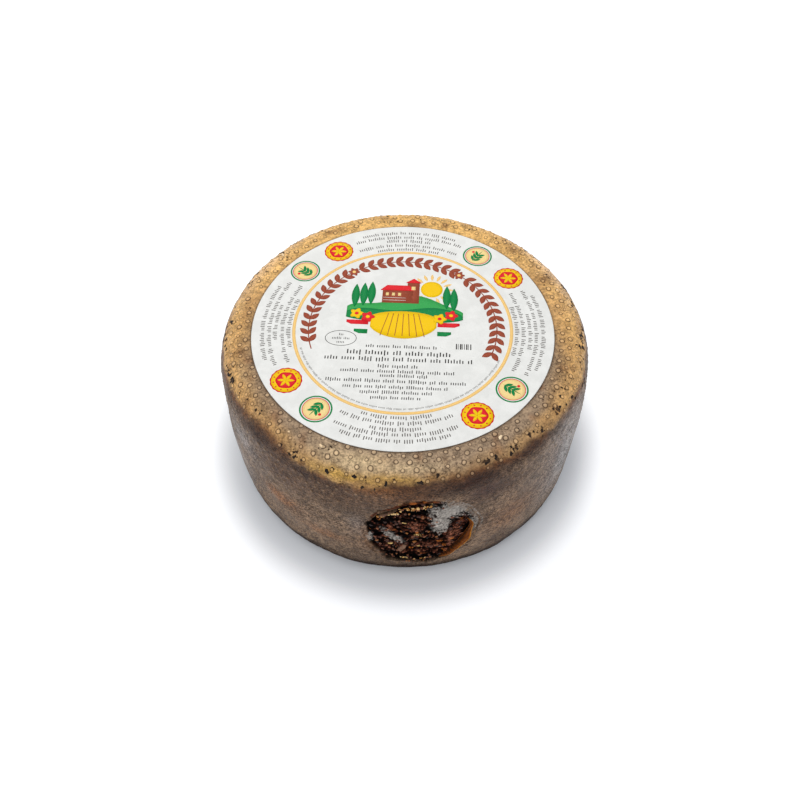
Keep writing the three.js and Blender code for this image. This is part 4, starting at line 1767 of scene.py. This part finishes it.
def add_node(
    tree: NodeTree,
    kind: str,
    inputs: dict[str | int, object] | None = None,
    stops: tuple[tuple[float, str], ...] = (),
    **settings: object,
) -> Node:
    """Adds a node to a tree.

    Args:
        tree: a material's or the world's tree.
        kind: the node's type, without the leading ShaderNode.
        inputs: by number or name: a plain value, a hex colour, an output, or a node for its first output.
        stops: places and hex colours of a colour ramp.
        settings: the node's properties by name.

    Returns:
        The new node.
    """
    node = tree.nodes.new("ShaderNode" + kind)
    for name, value in settings.items():
        setattr(node, name, value)
    for key, value in (inputs or {}).items():
        if isinstance(value, Node | NodeSocket):
            tree.links.new(value.outputs[0] if isinstance(value, Node) else value, node.inputs[key])
        else:
            node.inputs[key].default_value = linear(value) if isinstance(value, str) else value
    for i, (place, colour) in enumerate(stops):
        ramp = node.color_ramp.elements
        stop = ramp[i] if i < len(ramp) else ramp.new(place)
        stop.position = place
        stop.color = linear(colour)
    return node


def new_material(name: str) -> tuple[Material, NodeTree]:
    """A new material with an empty tree.

    Args:
        name: of the material.

    Returns:
        The material and its tree.
    """
    material = bpy.data.materials.new(name)
    material.use_nodes = True
    material.node_tree.nodes.clear()
    return material, material.node_tree


def in_millimetres(tree: NodeTree, squat: float = 1.0) -> Node:
    """Object coordinates in millimetres, for patterns that are squat by a factor."""
    where = add_node(tree, "TexCoord").outputs["Object"]
    return add_node(tree, "Mapping", {0: where, "Scale": (1.0 / MM, 1.0 / MM, squat / MM)})


def weighed(tree: NodeTree, start: float, *terms: tuple[float | Link, Link]) -> Link:
    """A start value plus several values, each times its factor.

    Args:
        tree: the material's tree.
        start: the start value.
        terms: the factors and the values.

    Returns:
        The sum.
    """
    for factor, value in terms:
        start = add_node(tree, "Math", {0: value, 1: factor, 2: start}, operation="MULTIPLY_ADD")
    return start


def finished(tree: NodeTree, relief: Link, bump: tuple[float, float], inputs: dict[str, object]) -> None:
    """Ends a material's tree with its relief finer than the mesh, its surface and its output.

    Args:
        tree: the material's tree.
        relief: height of the relief.
        bump: its strength, and the millimetres that a height of 1 stands for.
        inputs: of the surface shader.
    """
    normal = add_node(tree, "Bump", {"Height": relief, "Strength": bump[0], "Distance": bump[1] * MM})
    shader = add_node(tree, "BsdfPrincipled", inputs | {"Normal": normal})
    add_node(tree, "OutputMaterial", {0: shader})


@dataclass(frozen=True)
class RindFinish:
    """Natural rind of an aged ewe's-milk wheel: rubbed with oil and ash, dried, with mould in its pores.

    The oil gives the clean parts a soft waxy gloss and a golden depth, and mould bloom takes it away. The
    skin is cracked into pebbles of 2 mm, and its grain is drawn at 1 mm, the finest that shows. Its cracks
    and the hollows of its grain are darkened, partly as mould and partly as painted shade. The foot is
    matt.
    """

    # crack: dark brown for the cracks, partly mould and partly painted shade, and for painted shade in gaps.
    crack: str = "#2f1b10"
    # dome: pale tan that nub tops are mixed toward, partly as a painted highlight.
    dome: str = "#d3b48c"

    def build(self) -> Material:
        """Makes the material from the zones stored on the meshes and patterns in Object coordinates."""
        material, tree = new_material("natural_oiled_rind")
        add = partial(add_node, tree)
        place, squat = in_millimetres(tree), in_millimetres(tree, 1.6)
        mottle = add("TexNoise", {"Vector": place, "Scale": 1 / 3.0, "Detail": 3.0})
        grain = add("TexNoise", {"Vector": squat, "Scale": 1.0, "Detail": 3.0, "Roughness": 0.7})
        shift = {0: mottle.outputs["Color"], 1: (2.4, 2.4, 2.4), 2: squat}
        bent = add("VectorMath", shift, operation="MULTIPLY_ADD")
        cells = add("TexVoronoi", {"Vector": bent, "Scale": 1 / 2.0}, feature="DISTANCE_TO_EDGE")
        names = ("crackle", "dry", "gap_shade", "dome", "char")
        zones = [add("Attribute", attribute_name=name).outputs["Fac"] for name in names]
        crackle, dry, gap_shade, dome, char = zones
        ground, paint = (add("Attribute", attribute_name=name) for name in ("ground", "paint"))
        narrow = add("MapRange", {0: cells, 1: 0.17, 2: 0.05})
        broken = add("MapRange", {0: mottle, 1: 0.62, 2: 0.45, 4: 0.6})
        cracks = weighed(tree, 0.0, (weighed(tree, 0.0, (crackle, narrow)), broken))
        flecks = weighed(tree, 0.0, (crackle, add("MapRange", {0: grain, 1: 0.56, 2: 0.66, 4: 0.85})))
        flaws = add("Math", {0: cracks, 1: flecks}, operation="MAXIMUM")

        # Painted shade in part: the grain is drawn darker where its relief dips.
        pale = add("MapRange", {0: grain, 1: 0.36, 2: 0.62, 3: 0.8, 4: -0.66})
        cloudy = add("MapRange", {0: mottle, 1: 0.33, 2: 0.67, 4: 0.3})
        # The lightness also rises toward the nubs' tops, partly as a painted highlight.
        lightness = weighed(tree, 0.84, (crackle, pale), (0.34, dome), (1.0, cloudy))
        colour: Link = add("VectorMath", {0: ground, "Scale": lightness}, operation="SCALE")
        layers = (
            # Cracks and dark flecks, where the relief is lowest: partly mould, partly painted shade.
            (flaws, self.crack),
            # Nub tops mixed toward pale tan, partly as a painted highlight.
            (weighed(tree, 0.0, (0.3, dome)), self.dome),
            # Painted shade: the dark line along the label's edge and in each nub's groove.
            (add("MapRange", {0: gap_shade, 1: 0.1, 2: 0.9, 4: 0.78}), self.crack),
            (char, paint),
        )
        for share, layer in layers:
            colour = add("Mix", {0: share, MIX_A: colour, MIX_B: layer}, data_type="RGBA").outputs[MIX_OUT]

        height = add("SeparateXYZ", {0: place}).outputs["Z"]
        # Gloss fades out from 18 mm down to 8 mm, on the foot whose colour is partly painted contact shadow.
        off_foot = add("MapRange", {0: height, 1: 8.0, 2: 18.0})
        gloss = weighed(tree, 0.0, (off_foot, add("MapRange", {0: char, 1: 1.1, 2: 0.0, 4: 0.2})))
        coarse = weighed(tree, 0.0, (crackle, grain))
        relief = weighed(tree, 0.0, (-0.5, cracks), (-1.1, coarse), (0.3, mottle))
        surface = {
            "Base Color": colour,
            "IOR": 1.46,
            "Roughness": weighed(tree, 0.34, (0.16, dry), (0.3, char), (0.12, grain)),
            "Specular IOR Level": gloss,
        }
        finished(tree, relief, (1.0, 1.0), surface)
        return material


@dataclass(frozen=True)
class LipFinish:
    """Rind torn up by the iron and roasted: golden brown and dry, streaked across by its fibres. Its dark
    inner side is partly painted shade under the crest, and its gold outer edge partly a painted highlight.
    """

    # dark and gold: partly painted shade on the crest's inner side, partly a painted highlight on the outer
    # edge.
    dark: str = "#1a0c04"
    brown: str = "#743a08"
    gold: str = "#d8912c"

    def build(self) -> Material:
        """Makes the material from the places stored on the lip."""
        material, tree = new_material("roasted_rind")
        add = partial(add_node, tree)
        along, edge = (add("Attribute", attribute_name=name).outputs["Fac"] for name in ("along", "edge"))
        spots = {"Vector": in_millimetres(tree), "Scale": 1 / 1.1, "Detail": 4.0, "Roughness": 0.7}
        apart = add("CombineXYZ", {0: along, 1: weighed(tree, 0.0, (0.8, edge))})
        fibre = add("TexNoise", {"Vector": apart, "Scale": 1.6, "Detail": 3.0, "Roughness": 0.65})
        # Partly painted light: the tone rises from the shaded inner side to the highlit outer edge.
        tone = weighed(tree, 0.0, (0.4, edge), (0.7, fibre), (0.25, add("TexNoise", spots)))
        colour = add("ValToRGB", {0: tone}, ((0.46, self.dark), (0.7, self.brown), (0.98, self.gold)))
        surface = {"Base Color": colour, "IOR": 1.46, "Roughness": 0.65, "Specular IOR Level": 0.04}
        finished(tree, fibre, (0.8, 0.4), surface)
        return material


@dataclass(frozen=True)
class CrumbFinish:
    """Dry crumbs of rind, from pale and toasted to black, each of one tone.

    Attributes:
        name: of the material.
        tones: hex colours over the crumbs' random tone.
    """

    name: str
    tones: tuple[str, ...]

    def build(self) -> Material:
        """Makes the material from the tone stored on each crumb, speckled at 0.5 mm."""
        material, tree = new_material(self.name)
        add = partial(add_node, tree)
        tone = add("Attribute", attribute_name="tone").outputs["Fac"]
        speckle = add("TexNoise", {"Vector": in_millimetres(tree), "Scale": 1 / 0.5, "Detail": 3.0})
        uneven = add("MapRange", {0: speckle, 1: 0.3, 2: 0.7, 3: -0.12, 4: 0.12})
        stops = tuple((i / (len(self.tones) - 1), colour) for i, colour in enumerate(self.tones))
        colour = add("ValToRGB", {0: add("Math", {0: tone, 1: uneven})}, stops)
        surface = {"Base Color": colour, "IOR": 1.45, "Roughness": 0.62, "Specular IOR Level": 0.25}
        finished(tree, speckle, (0.7, 0.3), surface)
        return material


@dataclass(frozen=True)
class PaperFinish:
    """Coated label paper: white, smooth and nearly matt, faintly clouded where the rind has wetted it."""

    white: str = "#ebece9"
    damp: str = "#e3e4e1"
    fibre: str = "#c9c9c5"

    def build(self) -> Material:
        """Makes the material: broad damp clouds, fibres of a few tenths of a millimetre, and a fine tooth."""
        material, tree = new_material("coated_label_paper")
        add = partial(add_node, tree)
        place = in_millimetres(tree)
        damp = add("TexNoise", {"Vector": place, "Scale": 1 / 7, "Detail": 5.0, "Roughness": 0.6})
        fibres = add("TexNoise", {"Vector": place, "Scale": 1 / 0.45, "Detail": 3.0})
        base = add("ValToRGB", {0: damp}, ((0.42, self.damp), (0.62, self.white)))
        share = add("MapRange", {0: fibres, 1: 0.56, 2: 0.8, 4: 0.4})
        colour = add("Mix", {0: share, MIX_A: base, MIX_B: self.fibre}, data_type="RGBA").outputs[MIX_OUT]
        surface = {"Base Color": colour, "IOR": 1.48, "Roughness": 0.55, "Specular IOR Level": 0.3}
        finished(tree, fibres, (0.35, 0.12), surface)
        return material


@dataclass(frozen=True)
class InkFinish:
    """Offset printing ink: a thin even film that takes the paper's low gloss, a little patchy in solid areas.

    Attributes:
        ink: which one.
    """

    ink: Ink

    def build(self) -> Material:
        """Makes the material: the ink's colour, thinner over the paper's highest fibres."""
        material, tree = new_material(f"printing_ink_{self.ink.name.lower()}")
        add = partial(add_node, tree)
        fibres = add("TexNoise", {"Vector": in_millimetres(tree), "Scale": 1 / 0.6, "Detail": 4.0})
        thin = {0: add("MapRange", {0: fibres, 1: 0.6, 2: 0.9, 4: 0.2}), MIX_A: self.ink.value}
        colour = add("Mix", thin | {MIX_B: PaperFinish.white}, data_type="RGBA").outputs[MIX_OUT]
        surface = {"Base Color": colour, "IOR": 1.5, "Roughness": 0.5, "Specular IOR Level": 0.12}
        finished(tree, fibres, (0.3, 0.1), surface)
        return material


# ------------------------ setting
def placed(name: str, data: bpy.types.ID) -> Object:
    """Puts a mesh, light or camera into the scene.

    Args:
        name: of the object.
        data: what it shows.

    Returns:
        The object.
    """
    thing = bpy.data.objects.new(name, data)
    bpy.context.scene.collection.objects.link(thing)
    return thing


@dataclass(frozen=True)
class Studio:
    """A white table in soft light from above and behind, and the camera. Sizes here are in metres.

    Attributes:
        camera_place: where the camera stands.
        camera_pitch: its tilt up from looking straight down, in degrees.
        camera_roll: its turn round its own axis, in degrees.
        lens, sensor: focal length and width of the sensor, in millimetres.
        table_size: half the table's width.
        glow_start, glow_end: distances from the wheel's axis between which the table's painted glow grows;
        inside them the missing glow leaves a painted contact shadow round the foot.
        glow: its full strength.
        aim: height of the point that the lamps face.
    """

    camera_place: tuple[float, float, float] = (-0.0024, -0.2702, 0.3763)
    camera_pitch: float = 37.76
    camera_roll: float = -0.407
    lens: float = 37.37
    sensor: float = 36.0
    table_size: float = 6.0
    glow_start: float = 0.092
    glow_end: float = 0.112
    glow: float = 0.38
    aim: float = 0.05

    def table(self) -> None:
        """A plain white table top that glows by emission, with no lamp under it, except round the wheel's foot.

        The glow grows with distance from the wheel, so the missing glow round the foot is a painted contact
        shadow.
        """
        material, tree = new_material("white_table_painted_glow")
        add = partial(add_node, tree)
        # Painted light: the table's own glow, growing away from the wheel's foot.
        away = add("VectorMath", {0: add("TexCoord").outputs["Object"]}, operation="LENGTH").outputs["Value"]
        rise = {0: away, 1: self.glow_start, 2: self.glow_end, 4: self.glow}
        strength = add("MapRange", rise, interpolation_type="SMOOTHSTEP")
        glow = add("Emission", {"Color": "#ffffff", "Strength": strength})
        add("OutputMaterial", {0: add("AddShader", {0: add("BsdfDiffuse", {"Color": "#f2f5f9"}), 1: glow})})
        half = self.table_size
        mesh = bpy.data.meshes.new("table")
        corners = [(-half, -half, 0.0), (half, -half, 0.0), (half, half, 0.0), (-half, half, 0.0)]
        mesh.from_pydata(corners, [], [(0, 1, 2, 3)])
        mesh.materials.append(material)
        table = placed("table", mesh)

    def lamp(self, name: str, place: Vector, size: float, power: float, colour: str) -> None:
        """A square soft lamp that faces the wheel's middle.

        Args:
            name: of the lamp.
            place: where it hangs.
            size: its edge.
            power: in watts.
            colour: of its light.
        """
        light = bpy.data.lights.new(name, "AREA")
        light.shape = "SQUARE"
        light.size = size
        light.energy = power
        light.color = linear(colour)[:3]
        lamp = placed(name, light)
        lamp.location = place
        lamp.rotation_mode = "QUATERNION"
        lamp.rotation_quaternion = (Vector((0.0, 0.0, self.aim)) - place).to_track_quat("-Z", "Y")

    def sky(self) -> None:
        """An even pale surround."""
        world = bpy.data.worlds.new("white_surround")
        world.use_nodes = True
        world.node_tree.nodes.clear()
        glow = add_node(world.node_tree, "Background", {"Color": "#fafbff", "Strength": 0.66})
        add_node(world.node_tree, "OutputWorld", {0: glow})
        bpy.context.scene.world = world

    def camera(self) -> None:
        """The camera, looking down on the wheel from the front."""
        data = bpy.data.cameras.new("camera")
        data.lens = self.lens
        data.sensor_width = self.sensor
        data.clip_start = 0.01
        camera = placed("camera", data)
        pitch = Matrix.Rotation(math.radians(self.camera_pitch), 4, "X")
        roll = Matrix.Rotation(math.radians(self.camera_roll), 4, "Z")
        camera.matrix_world = Matrix.Translation(self.camera_place) @ pitch @ roll
        bpy.context.scene.camera = camera

    def build(self) -> None:
        """Sets the table, the light and the camera."""
        bpy.context.scene.view_settings.view_transform = "Standard"
        self.camera()
        self.sky()
        self.table()
        self.lamp("overhead_softbox", Vector((0.0, -0.05, 0.9)), 1.0, 1.8, "#fffdf9")
        self.lamp("back_lamp", Vector((-0.05, 0.4, 0.5)), 0.35, 0.8, "#fffaf0")
        self.lamp("front_key", Vector((-0.35, -0.55, 0.6)), 0.25, 0.9, "#fffdf9")


# ------------------------ the whole
def main() -> None:
    """Builds the setting and every piece."""
    logging.basicConfig(level=logging.INFO, format="%(name)s: %(message)s")
    Studio().build()
    low, high = (np.array(corner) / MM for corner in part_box("paper_label"))
    label = PaperLabel(
        centre=tuple(float(middle) for middle in (low + high)[:2] / 2),
        radius=float(high[0] - low[0]) / 2,
        bottom=float(low[2]),
        thickness=float(high[2] - low[2]),
    )
    form = WheelForm(height=label.bottom)
    skin = RindSkin(form, ScarPlan(form), label)
    rind_material = RindFinish().build()
    Rind(skin).build(rind_material)
    Nubs(skin).build(rind_material)
    specks = Specks(skin)
    mould = CrumbFinish("old_mould", ("#160d07", "#2c1d11", "#573f28"))
    paste = CrumbFinish("dried_paste", ("#efcfa2", "#f8e0ba"))
    specks.build("mould_specks", specks.of_mould(), mould.build())
    specks.build("pale_chips", specks.of_paste(), paste.build())
    scar = Scar(skin)
    scar.build(rind_material)
    ScarLip(skin).build(LipFinish().build())
    golden = CrumbFinish("toasted_crumbs", ("#7a4818", "#b57c38", "#d9ab66", "#ecd09a"))
    burnt = CrumbFinish("burnt_crumbs", ("#0a0504", "#2a1711", "#5a382c", "#7d4e38", "#9a5f2a"))
    Crumbs(skin, CrumbKind.GOLDEN).build(golden.build(), scar)
    Crumbs(skin, CrumbKind.BURNT).build(burnt.build(), scar)
    label.build(PaperFinish().build())
    LabelPrint(label).build({ink: InkFinish(ink).build() for ink in Ink})


if __name__ == "__main__":
    main()
